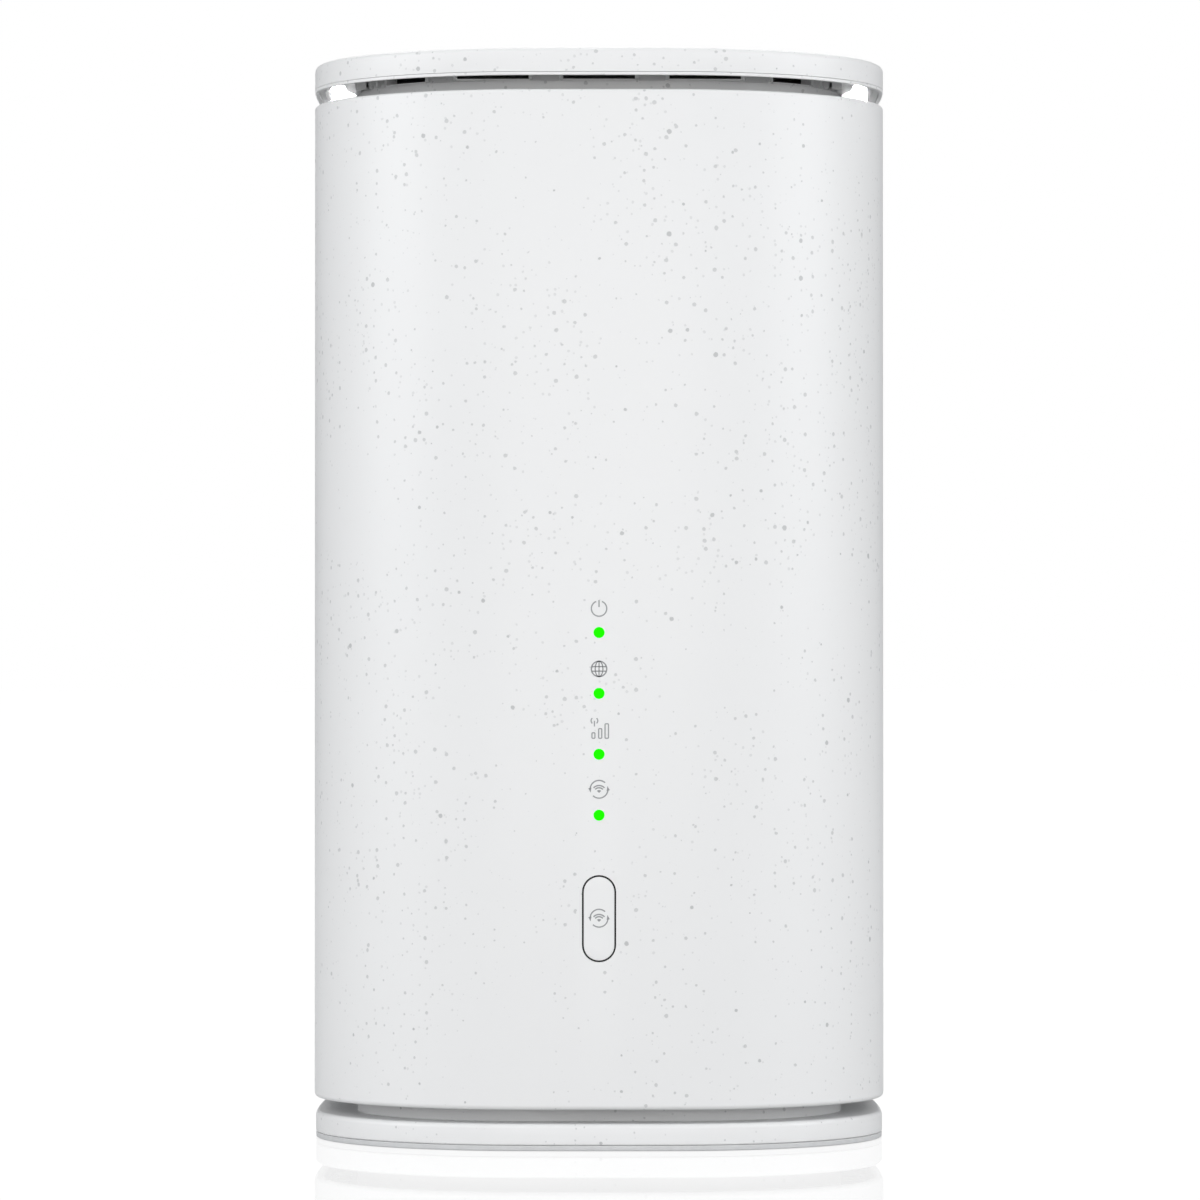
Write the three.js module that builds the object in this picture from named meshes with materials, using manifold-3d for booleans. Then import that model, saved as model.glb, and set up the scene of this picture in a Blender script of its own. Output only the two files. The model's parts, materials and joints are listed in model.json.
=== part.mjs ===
// Indoor mesh wifi node with a cellular modem: a rounded-square tower on a recessed neck, with a vented lid.
// Millimetres, +Z up. The front faces -Y. The origin is the centre of the footprint, on the surface below it.
import * as THREE from "three";
import { mergeVertices } from "three/addons/utils/BufferGeometryUtils.js";
import Module from "manifold-3d";

const wasm = await Module();
wasm.setup();

// ---------------------------------------------------------------- driving dimensions

// The plan section: four long shallow arcs joined by four round corners.
const WIDTH = 109;
const SIDE_RADIUS = 495;
const CORNER_RADIUS = 41.1;
const SIDE_STEPS = 2;
const CORNER_STEPS = 8;

// The stack, from the surface up.
const FOOT_TOP = 1;
const BASE_TOP = 5;
const HOUSING_BOTTOM = 7.6;
const HOUSING_TOP = 196.3;
const LIP_BOTTOM = 198.9;
const LIP_TOP = 199.4;
const HEIGHT = 204;

const WALL = 2; // housing wall
const FIT = 0.3; // gap between pieces that meet
const EDGE = 0.6; // broken edges of the housing and the base
const LID_EDGE = 1.2;
const LID_WALL = 1.5;
const LID_CEILING = 201.9; // over the neck
const GROOVE_CEILING = 203.1; // in the groove between the lid's wall and the neck
const GROOVE_INSET = 5.2;
const LINER_INSET = 10.8;
const LINER_THICKNESS = 1;
const LIP_INSET = 0.15;
const LIP_INNER = 2.3;
const NECK_INSET = 8.2; // how far both necks stand in from the outer face
const NECK_WALL = 2;
const DECK_THICKNESS = 2.4;
const DECK_INSET = WALL + FIT;
const BOTTOM_DECK_TOP = 12;
const TOP_DECK_TOP = 192;

// Air slots in the upper neck, as widths and centres along each flat side.
const SLOT_WIDTH = 13.4;
const SLOT_PITCH = 19.8;
const SLOT_BOTTOM = 198.8;
const CORNER_SLOT_FROM = THREE.MathUtils.degToRad(35.5);
const CORNER_SLOT_TO = THREE.MathUtils.degToRad(53.5);

// Front controls, on the centre line.
const LIGHT_RADIUS = 0.965;
const LIGHT_BOTTOM = 62;
const LIGHT_PITCH = 11.25;
const LIGHT_NAMES = ["wifi", "signal", "internet", "power"];
const BUTTON_WIDTH = 5.68;
const BUTTON_HEIGHT = 15.46;
const BUTTON_Z = 42.9;
const BUTTON_GAP = 0.26;
const LIGHT_BOARD_FACE = -47.6;
const LIGHT_BOARD_THICKNESS = 1.2;

// The main board stands across the middle, its ports facing the back.
const BOARD_WIDTH = 80;
const BOARD_FRONT = 30;
const BOARD_THICKNESS = 1.6;
const BOARD_BACK = BOARD_FRONT + BOARD_THICKNESS;
const BOARD_BOTTOM = 14;
const BOARD_TOP = 186;

// The port bay, a recess in the back.
const BAY_WIDTH = 30;
const BAY_BOTTOM = 18;
const BAY_TOP = 116;
const BAY_CORNER = 4;
const BAY_MOUTH = 54;
const BEZEL_WALL = 1.2;
const PANEL_FACE = 46;
const PANEL_THICKNESS = 2;
const DC_JACK_Z = 27;
const POWER_BUTTON_Z = 42;
const NETWORK_JACK_Z = [60, 78];
const RESET_Z = 92;
const SIM_Z = 104;

// The antenna sockets sit in a well above the port bay, behind a hinged flap.
const FLAP_WIDTH = 26;
const FLAP_BOTTOM = 128.2;
const FLAP_TOP = 146.8;
const FLAP_THICKNESS = 1.5;
const FLAP_OUTER = 54.4;
const HINGE_Y = 53.4;
const HINGE_Z = 129.2;
const BARREL_RADIUS = 1;
const BARREL_LENGTH = 22;
const PIN_RADIUS = 0.5;
const PIN_BORE = 0.6;

// ---------------------------------------------------------------- solids

const origin = new THREE.Vector2(0, 0);
const half = WIDTH / 2;

// The corner centre that makes the side and corner arcs meet without a kink.
const sideCentre = SIDE_RADIUS - half;
const centreDistance = SIDE_RADIUS - CORNER_RADIUS;
const cornerCentre =
  (-sideCentre + Math.sqrt(2 * centreDistance ** 2 - sideCentre ** 2)) / 2;
const sideAngle = Math.atan2(cornerCentre, sideCentre + cornerCentre);

// A closed geometry as a solid for joining and cutting.
function toSolid(geometry) {
  const bare = geometry.index ? geometry.toNonIndexed() : geometry.clone();
  bare.deleteAttribute("normal");
  bare.deleteAttribute("uv");
  const merged = mergeVertices(bare, 1e-4);
  const index = merged.index.array;
  const triangles = [];
  for (let i = 0; i < index.length; i += 3) {
    const [a, b, c] = index.subarray(i, i + 3);
    if (a !== b && b !== c && c !== a) triangles.push(a, b, c);
  }
  return new wasm.Manifold(
    new wasm.Mesh({
      numProp: 3,
      vertProperties: merged.attributes.position.array,
      triVerts: new Uint32Array(triangles),
    }),
  );
}

function toGeometry(solid) {
  const { vertProperties, triVerts } = solid.getMesh();
  const geometry = new THREE.BufferGeometry();
  geometry.setAttribute(
    "position",
    new THREE.BufferAttribute(vertProperties, 3),
  );
  geometry.setIndex(new THREE.BufferAttribute(triVerts, 1));
  const flat = geometry.toNonIndexed();
  flat.computeVertexNormals();
  return flat;
}

function box(x0, x1, y0, y1, z0, z1) {
  const geometry = new THREE.BoxGeometry(x1 - x0, y1 - y0, z1 - z0);
  geometry.translate((x0 + x1) / 2, (y0 + y1) / 2, (z0 + z1) / 2);
  return toSolid(geometry);
}

// An upright prism of a plan shape, its edges broken by `bevel`.
function prismZ(shape, bottom, top, bevel = 0) {
  const geometry = new THREE.ExtrudeGeometry(shape, {
    depth: top - bottom - 2 * bevel,
    bevelEnabled: bevel > 0,
    bevelThickness: bevel,
    bevelSize: bevel,
    bevelOffset: -bevel,
    bevelSegments: 1,
    curveSegments: 2,
  });
  geometry.translate(0, 0, bottom + bevel);
  return toSolid(geometry);
}

// A prism that runs front to back, of a shape drawn as seen from the front.
function prismY(shape, front, back, curveSegments = 2) {
  const geometry = new THREE.ExtrudeGeometry(shape, {
    depth: back - front,
    bevelEnabled: false,
    curveSegments,
  });
  geometry.rotateX(Math.PI / 2);
  geometry.translate(0, back, 0);
  return toSolid(geometry);
}

// A rod from front to back at (x, z).
function rodY(radius, front, back, x = 0, z = 0, sides = 12) {
  const geometry = new THREE.CylinderGeometry(
    radius,
    radius,
    back - front,
    sides,
  );
  geometry.translate(x, (front + back) / 2, z);
  return toSolid(geometry);
}

// An upright rod at (x, y).
function rodZ(radius, bottom, top, x = 0, y = 0, sides = 12) {
  const geometry = new THREE.CylinderGeometry(
    radius,
    radius,
    top - bottom,
    sides,
  );
  geometry.rotateX(Math.PI / 2);
  geometry.translate(x, y, (bottom + top) / 2);
  return toSolid(geometry);
}

// A rod from left to right, centred on x = 0, at (y, z).
function rodX(radius, length, y, z, sides = 12) {
  const geometry = new THREE.CylinderGeometry(radius, radius, length, sides);
  geometry.rotateZ(Math.PI / 2);
  geometry.translate(0, y, z);
  return toSolid(geometry);
}

const joined = (solids) => solids.reduce((all, solid) => all.add(solid));
const cut = (solid, cutters) =>
  cutters.reduce((rest, cutter) => rest.subtract(cutter), solid);

// ---------------------------------------------------------------- outlines

// The plan outline, `inset` inside the outer face.
function planPoints(inset) {
  const points = [];
  for (let quarter = 0; quarter < 4; quarter += 1) {
    const turn = (quarter * Math.PI) / 2;
    const sideRadius = SIDE_RADIUS - inset;
    const cornerRadius = CORNER_RADIUS - inset;
    const side = new THREE.EllipseCurve(
      -sideCentre,
      0,
      sideRadius,
      sideRadius,
      -sideAngle,
      sideAngle,
    );
    const corner = new THREE.EllipseCurve(
      cornerCentre,
      cornerCentre,
      cornerRadius,
      cornerRadius,
      sideAngle,
      Math.PI / 2 - sideAngle,
    );
    const arcs = [
      side.getPoints(SIDE_STEPS).slice(0, -1),
      corner.getPoints(CORNER_STEPS).slice(0, -1),
    ];
    arcs
      .flat()
      .forEach((point) => points.push(point.rotateAround(origin, turn)));
  }
  return points;
}

function plan(outerInset, innerInset = null) {
  const shape = new THREE.Shape(planPoints(outerInset));
  if (innerInset !== null)
    shape.holes.push(new THREE.Path(planPoints(innerInset)));
  return shape;
}

// A rectangle with round corners, `width` by `height` about (x, y).
function roundedRectangle(width, height, radius, x = 0, y = 0) {
  const dx = width / 2 - radius;
  const dy = height / 2 - radius;
  const corners = [
    [dx, dy],
    [-dx, dy],
    [-dx, -dy],
    [dx, -dy],
  ];
  const shape = new THREE.Shape();
  corners.forEach(([cx, cy], i) => {
    const start = (i * Math.PI) / 2;
    shape.absarc(x + cx, y + cy, radius, start, start + Math.PI / 2, false);
  });
  return shape;
}

const pill = (width, height, z) =>
  roundedRectangle(width, height, width / 2, 0, z);

// ---------------------------------------------------------------- materials and nodes

const material = (color, roughness, metalness = 0) =>
  new THREE.MeshStandardMaterial({ color, roughness, metalness });
const whitePlastic = () => material(0xeceded, 0.6);
const greyPlastic = () => material(0xb9bcbe, 0.6);
const darkPlastic = () => material(0x1b1c1e, 0.5);
const rubber = () => material(0xd0d2d4, 0.9);
const boardGreen = () => material(0x17402b, 0.5);
const steel = () => material(0xb8babc, 0.35, 1);
const aluminium = () => material(0xc4c7ca, 0.45, 1);
const litGreen = () => material(0x33f214, 0.3);
const padPink = () => material(0xb79aa6, 0.9);

function node(name, solid, surface) {
  const mesh = new THREE.Mesh(toGeometry(solid), surface);
  mesh.name = name;
  return mesh;
}

function placed(object, x, y, z) {
  object.position.set(x, y, z);
  return object;
}

function assembly(...children) {
  const group = new THREE.Group();
  group.add(...children);
  return group;
}

// The four corners of a square of screws or bosses.
const fourCorners = (dx, dy) => [
  [dx, dy],
  [-dx, dy],
  [-dx, -dy],
  [dx, -dy],
];

// ---------------------------------------------------------------- base

const BASE_SCREW = 30; // how far the base screws stand from the axes
const BOSS_RADIUS = 3.6;
const BASE_RECESS = 1.4;
const BASE_RECESS_INSET = 9.6;
const INTAKE_PITCH = 6.5;
const INTAKE_WIDTH = 2.4;
const DECK_OPENING = 44;

// Parallel slots of equal width, spread from `first` to `last` along Y.
function slotRow(count, pitch, width, length, bottom, top) {
  return Array.from({ length: count }, (_, i) => {
    const y = (i - (count - 1) / 2) * pitch;
    return box(-length / 2, length / 2, y - width / 2, y + width / 2, bottom, top);
  });
}

function footPad() {
  return prismZ(plan(0.5, 9), 0, FOOT_TOP);
}

function basePlate() {
  const tall = prismZ(plan(0), FOOT_TOP - 4, BASE_TOP, EDGE + 0.3);
  const belowFoot = box(-half, half, -half, half, -6, FOOT_TOP);
  const recess = prismZ(plan(BASE_RECESS_INSET), 0, FOOT_TOP + BASE_RECESS);
  const screwHoles = fourCorners(BASE_SCREW, BASE_SCREW).map(([x, y]) =>
    rodZ(1.5, 0, BASE_TOP + 1, x, y),
  );
  const intake = slotRow(7, INTAKE_PITCH, INTAKE_WIDTH, 38, 0, BASE_TOP + 1);
  return cut(tall, [belowFoot, recess, ...screwHoles, ...intake]);
}

function baseNeck() {
  return prismZ(plan(NECK_INSET, NECK_INSET + NECK_WALL), BASE_TOP, BOTTOM_DECK_TOP - DECK_THICKNESS);
}

// The housing's floor: intake slots all round its ledge and bosses for the base screws below it.
function bottomDeck() {
  const underside = BOTTOM_DECK_TOP - DECK_THICKNESS;
  const plate = prismZ(plan(DECK_INSET), underside, BOTTOM_DECK_TOP);
  const bosses = fourCorners(BASE_SCREW, BASE_SCREW).map(([x, y]) =>
    rodZ(BOSS_RADIUS, BASE_TOP + FIT, underside + 0.5, x, y),
  );
  const pilotHoles = fourCorners(BASE_SCREW, BASE_SCREW).map(([x, y]) =>
    rodZ(1.4, 0, BOTTOM_DECK_TOP - 1, x, y),
  );
  const middle = prismZ(
    roundedRectangle(DECK_OPENING, DECK_OPENING, 4),
    0,
    BOTTOM_DECK_TOP + 1,
  );
  const ledge = [];
  const ledgeMiddle = half - (WALL + NECK_INSET) / 2;
  for (const turn of [0, 90, 180, 270]) {
    for (const x of [-9, -3, 3, 9]) {
      const slot = box(x - 1.2, x + 1.2, ledgeMiddle - 1.6, ledgeMiddle + 1.6, 0, BOTTOM_DECK_TOP + 1);
      ledge.push(slot.rotate([0, 0, turn]));
    }
  }
  return cut(joined([plate, ...bosses]), [...pilotHoles, middle, ...ledge]);
}

// A pan-head screw with its head down and its shank up.
function baseScrew() {
  const profile = [
    [0, 0],
    [2.2, 0],
    [2.6, 0.5],
    [2.6, 1.3],
    [1.25, 1.3],
    [1.25, 7.6],
    [0, 7.6],
  ].map(([r, z]) => new THREE.Vector2(r, z));
  const geometry = new THREE.LatheGeometry(profile, 10);
  geometry.rotateX(Math.PI / 2);
  const socket = box(-0.35, 0.35, -1.6, 1.6, -1, 0.5);
  return cut(toSolid(geometry), [socket, socket.rotate([0, 0, 90])]);
}

function base() {
  const screws = fourCorners(BASE_SCREW, BASE_SCREW).map(([x, y], i) =>
    placed(
      node(`base_screw_${i + 1}`, baseScrew(), steel()),
      x,
      y,
      FOOT_TOP + BASE_RECESS - 1.3,
    ),
  );
  return assembly(
    node("foot_pad", footPad(), rubber()),
    node("base_plate", basePlate(), whitePlastic()),
    node("base_neck", baseNeck(), whitePlastic()),
    node("bottom_deck", bottomDeck(), greyPlastic()),
    ...screws,
  );
}

// ---------------------------------------------------------------- housing

const lightHeights = LIGHT_NAMES.map((_, i) => LIGHT_BOTTOM + i * LIGHT_PITCH);
const bayHeight = BAY_TOP - BAY_BOTTOM;
const bayMiddle = (BAY_TOP + BAY_BOTTOM) / 2;
const flapMiddle = (FLAP_TOP + FLAP_BOTTOM) / 2;

function bayOutline(grow) {
  return roundedRectangle(BAY_WIDTH + 2 * grow, bayHeight + 2 * grow, BAY_CORNER + grow, 0, bayMiddle);
}

function housingShell() {
  const tube = prismZ(plan(0, WALL), HOUSING_BOTTOM, HOUSING_TOP, EDGE);
  const inFront = -half - 1;
  const lightHoles = lightHeights.map((z) =>
    rodY(LIGHT_RADIUS + 0.1, inFront, -half + 2 * WALL, 0, z),
  );
  const buttonHole = prismY(
    pill(BUTTON_WIDTH + 2 * BUTTON_GAP, BUTTON_HEIGHT + 2 * BUTTON_GAP, BUTTON_Z),
    inFront,
    -half + 2 * WALL,
    4,
  );
  const bayWindow = prismY(bayOutline(BEZEL_WALL + FIT), half - 3 * WALL, half + 1);
  const flapWindow = prismY(
    roundedRectangle(FLAP_WIDTH + 2 * FIT, FLAP_TOP - FLAP_BOTTOM + 2 * FIT, 0.8, 0, flapMiddle),
    half - 2 * WALL,
    half + 1,
  );
  return cut(tube, [...lightHoles, buttonHole, bayWindow, flapWindow]);
}

// ---------------------------------------------------------------- top

// The upper neck: a wall with open-topped air slots along each side and one at each corner.
function ventRing() {
  const wall = prismZ(plan(NECK_INSET, NECK_INSET + NECK_WALL), TOP_DECK_TOP, LID_CEILING - FIT);
  const slots = [];
  for (const turn of [0, 90, 180, 270]) {
    for (const x of [-SLOT_PITCH, 0, SLOT_PITCH]) {
      const slot = box(x - SLOT_WIDTH / 2, x + SLOT_WIDTH / 2, half - 15, half, SLOT_BOTTOM, HEIGHT);
      slots.push(slot.rotate([0, 0, turn]));
    }
  }
  const cornerSlot = cornerWedge(CORNER_SLOT_FROM, CORNER_SLOT_TO);
  const mirrored = cornerSlot.mirror([1, 0, 0]);
  slots.push(cornerSlot, mirrored, cornerSlot.rotate([0, 0, 180]), mirrored.rotate([0, 0, 180]));
  return cut(wall, slots);
}

// A sector about a corner's centre, measured from the Y axis.
function cornerWedge(from, to) {
  const reach = CORNER_RADIUS;
  const shape = new THREE.Shape();
  shape.moveTo(cornerCentre, cornerCentre);
  shape.absarc(cornerCentre, cornerCentre, reach, Math.PI / 2 - to, Math.PI / 2 - from, false);
  return prismZ(shape, SLOT_BOTTOM, HEIGHT);
}

function topDeck() {
  const plate = prismZ(plan(DECK_INSET), TOP_DECK_TOP - DECK_THICKNESS, TOP_DECK_TOP - FIT);
  return cut(plate, slotRow(7, 8, 5, 56, TOP_DECK_TOP - 5, TOP_DECK_TOP + 1));
}

function lidCover() {
  const tall = prismZ(plan(0), LIP_TOP - 4, HEIGHT, LID_EDGE);
  const belowLip = box(-half - 1, half + 1, -half - 1, half + 1, LIP_TOP - 6, LIP_TOP + 0.1);
  const hollow = prismZ(plan(LID_WALL), LIP_TOP - 1, LID_CEILING);
  const groove = prismZ(plan(LID_WALL, GROOVE_INSET), LIP_TOP, GROOVE_CEILING);
  return cut(tall, [belowLip, hollow, groove]);
}

// The trim ring that closes the lid's rim, with an upstand inside the lid's wall.
function lidLip() {
  const flange = prismZ(plan(LIP_INSET, LIP_INNER), LIP_BOTTOM, LIP_TOP);
  const upstand = prismZ(plan(LID_WALL + FIT, LIP_INNER), LIP_TOP - 0.2, LID_CEILING);
  return joined([flange, upstand]);
}

// A dark plate under the lid, inside the neck, that hides the works from the air slots.
function lidLiner() {
  return prismZ(plan(LINER_INSET), LID_CEILING - LINER_THICKNESS - FIT, LID_CEILING - FIT);
}

function top() {
  return assembly(
    node("top_deck", topDeck(), greyPlastic()),
    node("lid_liner", lidLiner(), darkPlastic()),
    node("vent_ring", ventRing(), whitePlastic()),
    node("lid_lip", lidLip(), whitePlastic()),
    node("lid_cover", lidCover(), whitePlastic()),
  );
}

// ---------------------------------------------------------------- front controls

const BUTTON_FLANGE = 1.4;
const FLANGE_BACK = -half + WALL + 1.4;

// The pairing button: a pill set flush in the wall, with a flange behind it and a stem to its switch.
function pairingButton() {
  const face = prismY(pill(BUTTON_WIDTH, BUTTON_HEIGHT, BUTTON_Z), -half, FLANGE_BACK, 4);
  const flange = prismY(
    pill(BUTTON_WIDTH + BUTTON_FLANGE, BUTTON_HEIGHT + BUTTON_FLANGE, BUTTON_Z),
    -half + WALL + FIT,
    FLANGE_BACK,
  );
  const stem = rodY(1.5, FLANGE_BACK - 0.2, -49.9, 0, BUTTON_Z);
  return joined([face, flange, stem]);
}

function pairingSwitch() {
  const body = box(-3, 3, -49.9 + 1.1, LIGHT_BOARD_FACE - 0.1, BUTTON_Z - 3, BUTTON_Z + 3);
  const actuator = rodY(1.7, -49.2, -48.5, 0, BUTTON_Z);
  return joined([body, actuator]);
}

function lightBoard() {
  const back = LIGHT_BOARD_FACE + LIGHT_BOARD_THICKNESS;
  const board = box(-8, 8, LIGHT_BOARD_FACE, back, 32, 102);
  const lamps = lightHeights.map((z) =>
    box(-0.8, 0.8, LIGHT_BOARD_FACE - 0.7, LIGHT_BOARD_FACE + 0.1, z - 0.8, z + 0.8),
  );
  return joined([board, ...lamps]);
}

function lightPipe(z) {
  const rod = rodY(LIGHT_RADIUS, -half, -48.6, 0, z);
  const collar = rodY(1.9, -half + WALL + FIT, -50.8, 0, z);
  return joined([rod, collar]);
}

// The strip that stands on the bottom deck and holds the light board to the front wall.
function frontCarrier() {
  const plate = box(-11, 11, -46, -43.8, BOTTOM_DECK_TOP + FIT, 108);
  const hooks = [-1, 1].map((side) =>
    box(
      side < 0 ? -10.4 : 8.4,
      side < 0 ? -8.4 : 10.4,
      LIGHT_BOARD_FACE - 0.8,
      -45.8,
      34,
      100,
    ),
  );
  const ribbonWindow = box(-6, 6, -47, -43, 22, 31);
  return cut(joined([plate, ...hooks]), [ribbonWindow]);
}

// A flat cable from the light board to the main board, sagging a little between them.
function ribbonCable() {
  const route = new THREE.CatmullRomCurve3([
    new THREE.Vector3(0, LIGHT_BOARD_FACE + LIGHT_BOARD_THICKNESS + FIT, 29),
    new THREE.Vector3(0, -43, 26),
    new THREE.Vector3(0, -5, 21),
    new THREE.Vector3(0, 22, 22),
    new THREE.Vector3(0, BOARD_FRONT - FIT, 24),
  ]);
  const section = new THREE.Shape();
  section.moveTo(-4, -0.2);
  section.lineTo(4, -0.2);
  section.lineTo(4, 0.2);
  section.lineTo(-4, 0.2);
  section.closePath();
  return toSolid(
    new THREE.ExtrudeGeometry(section, { extrudePath: route, steps: 16 }),
  );
}

function frontControls() {
  const pipes = LIGHT_NAMES.map((name, i) =>
    node(`light_pipe_${name}`, lightPipe(lightHeights[i]), litGreen()),
  );
  return assembly(
    node("pairing_button", pairingButton(), whitePlastic()),
    node("pairing_switch", pairingSwitch(), darkPlastic()),
    node("light_board", lightBoard(), boardGreen()),
    node("front_carrier", frontCarrier(), greyPlastic()),
    node("ribbon_cable", ribbonCable(), greyPlastic()),
    ...pipes,
  );
}

// ---------------------------------------------------------------- electronics

const SINK_WIDTH = 68;
const SINK_BOTTOM = 70;
const SINK_TOP = 165;
const SINK_BACK = 25;
const SINK_BASE = 3;
const FIN_COUNT = 12;
const FIN_HEIGHT = 14;
const FIN_THICKNESS = 1.4;
const SINK_SCREW_X = 31;
const SINK_SCREW_Z = [74, 161];
const CAN_FRONT = 26.2;
const RAIL_INNER = 38.3;
const RAIL_OUTER = 43.5;

function sinkScrewPlaces() {
  return SINK_SCREW_Z.flatMap((z) => [
    [-SINK_SCREW_X, z],
    [SINK_SCREW_X, z],
  ]);
}

function mainBoard() {
  const board = box(-BOARD_WIDTH / 2, BOARD_WIDTH / 2, BOARD_FRONT, BOARD_BACK, BOARD_BOTTOM, BOARD_TOP);
  const holes = sinkScrewPlaces().map(([x, z]) => rodY(1.3, BOARD_FRONT - 1, BOARD_BACK + 1, x, z, 8));
  return cut(board, holes);
}

// A rail that stands between the decks and grips one edge of the main board.
function boardRail(side) {
  const top = TOP_DECK_TOP - DECK_THICKNESS - FIT;
  const rail = box(RAIL_INNER, RAIL_OUTER, 26.5, 35.1, BOTTOM_DECK_TOP + FIT, top);
  const groove = box(
    RAIL_INNER - 1,
    BOARD_WIDTH / 2 + FIT,
    BOARD_FRONT - FIT,
    BOARD_BACK + FIT,
    BOARD_BOTTOM - FIT,
    BOARD_TOP + FIT,
  );
  const rightRail = cut(rail, [groove]);
  return side < 0 ? rightRail.mirror([1, 0, 0]) : rightRail;
}

function heatSink() {
  const front = SINK_BACK - SINK_BASE;
  const halfWidth = SINK_WIDTH / 2;
  const plate = box(-halfWidth, halfWidth, front, SINK_BACK, SINK_BOTTOM, SINK_TOP);
  const pitch = (SINK_WIDTH - FIN_THICKNESS) / (FIN_COUNT - 1);
  const fins = Array.from({ length: FIN_COUNT }, (_, i) => {
    const x = -halfWidth + i * pitch;
    return box(x, x + FIN_THICKNESS, front - FIN_HEIGHT, front + 0.5, SINK_BOTTOM, SINK_TOP);
  });
  const holes = sinkScrewPlaces().map(([x, z]) => rodY(1.3, front + 0.6, SINK_BACK + 1, x, z, 8));
  return cut(joined([plate, ...fins]), holes);
}

// A screw that pulls the heat sink onto the board from behind, its head at the back.
function sinkScrew() {
  const shank = rodY(1, -8.6, 0.1, 0, 0, 8);
  const head = rodY(2.2, 0, 1.4, 0, 0, 8);
  return joined([shank, head]);
}

const can = (x0, x1, z0, z1) => box(x0, x1, CAN_FRONT, BOARD_FRONT - 0.1, z0, z1);
const pad = (x0, x1, z0, z1) => box(x0, x1, SINK_BACK + 0.1, CAN_FRONT - 0.1, z0, z1);

// A lead from the modem to an antenna panel at one side.
function coaxLead(side) {
  const route = new THREE.CatmullRomCurve3([
    new THREE.Vector3(side * 22, 27.6, 150.4),
    new THREE.Vector3(side * 24, 27.6, 166),
    new THREE.Vector3(side * 35.6, 20, 172),
    new THREE.Vector3(side * 44, 10, 166),
    new THREE.Vector3(side * 46.9, 4, 156),
  ]);
  const section = new THREE.Shape();
  section.absarc(0, 0, 0.7, 0, 2 * Math.PI, false);
  return toSolid(
    new THREE.ExtrudeGeometry(section, {
      extrudePath: route,
      steps: 14,
      curveSegments: 4,
    }),
  );
}

// Antenna panels: thin boards that stand just inside each side of the housing.
const ANTENNA_THICKNESS = 1;
const SIDE_ANTENNA_X = 47.5;
const END_ANTENNA_Y = 48.4;

function sideAntenna(side) {
  const panel = box(
    SIDE_ANTENNA_X,
    SIDE_ANTENNA_X + ANTENNA_THICKNESS,
    -24,
    22,
    BOTTOM_DECK_TOP + FIT,
    TOP_DECK_TOP - DECK_THICKNESS - FIT,
  );
  return side < 0 ? panel.mirror([1, 0, 0]) : panel;
}

function endAntenna(y, bottom) {
  const reach = ANTENNA_THICKNESS / 2;
  return box(-20, 20, y - reach, y + reach, bottom, TOP_DECK_TOP - DECK_THICKNESS - FIT);
}

function electronics() {
  const screws = sinkScrewPlaces().map(([x, z], i) =>
    placed(
      node(`sink_screw_${i + 1}`, sinkScrew(), steel()),
      x,
      BOARD_BACK + 0.1,
      z,
    ),
  );
  return assembly(
    node("main_board", mainBoard(), boardGreen()),
    node("board_rail_left", boardRail(-1), greyPlastic()),
    node("board_rail_right", boardRail(1), greyPlastic()),
    node("heat_sink", heatSink(), aluminium()),
    node("processor_shield", can(-28, -2, 118, 148), steel()),
    node("modem_module", can(2, 28, 100, 150), steel()),
    node("wifi_shield", can(-28, -2, 78, 106), steel()),
    node("processor_pad", pad(-25, -5, 121, 145), padPink()),
    node("modem_pad", pad(5, 25, 104, 146), padPink()),
    node("coax_left", coaxLead(-1), darkPlastic()),
    node("coax_right", coaxLead(1), darkPlastic()),
    node("antenna_left", sideAntenna(-1), boardGreen()),
    node("antenna_right", sideAntenna(1), boardGreen()),
    node("antenna_front", endAntenna(-END_ANTENNA_Y, 114), boardGreen()),
    node("antenna_back", endAntenna(END_ANTENNA_Y, 154), boardGreen()),
    ...screws,
  );
}

// ---------------------------------------------------------------- ports

const CONNECTOR_BACK = BOARD_BACK + 0.1;
const NETWORK_WIDTH = 16.2;
const NETWORK_HEIGHT = 13.6;
const PLUG_WIDTH = 12;
const PLUG_HEIGHT = 8.4;
const PLUG_DEPTH = 12.4;
const LATCH_WIDTH = 6.4;
const LATCH_DEPTH = 2.3;
const DC_SIZE = 9.5;
const POWER_CAP = 8;
const POWER_TRAVEL_ROOM = 0.3;
const SIM_CAGE_WIDTH = 17.2;
const SIM_CAGE_HEIGHT = 3.8;
const TRAY_WIDTH = 14.8;
const TRAY_HEIGHT = 1.4;
const SLOT_ROOM = 0.2;

// The recessed plate that the ports show through.
function portPanel() {
  const plate = prismY(bayOutline(2.6), PANEL_FACE - PANEL_THICKNESS, PANEL_FACE);
  const front = PANEL_FACE - PANEL_THICKNESS - 1;
  const back = PANEL_FACE + 1;
  const square = (width, height, z) =>
    box(-width / 2 - FIT, width / 2 + FIT, front, back, z - height / 2 - FIT, z + height / 2 + FIT);
  const networkHoles = NETWORK_JACK_Z.map((z) => square(NETWORK_WIDTH, NETWORK_HEIGHT, z));
  return cut(plate, [
    ...networkHoles,
    square(DC_SIZE, DC_SIZE, DC_JACK_Z),
    square(POWER_CAP, POWER_CAP, POWER_BUTTON_Z),
    rodY(1.1, front, back, 0, RESET_Z),
    square(TRAY_WIDTH, TRAY_HEIGHT, SIM_Z),
  ]);
}

// The frame that lines the bay from the panel to the housing's outer face.
function portBezel() {
  const frame = bayOutline(BEZEL_WALL);
  frame.holes.push(bayOutline(0));
  return prismY(frame, PANEL_FACE + 0.1, BAY_MOUTH);
}

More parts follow.
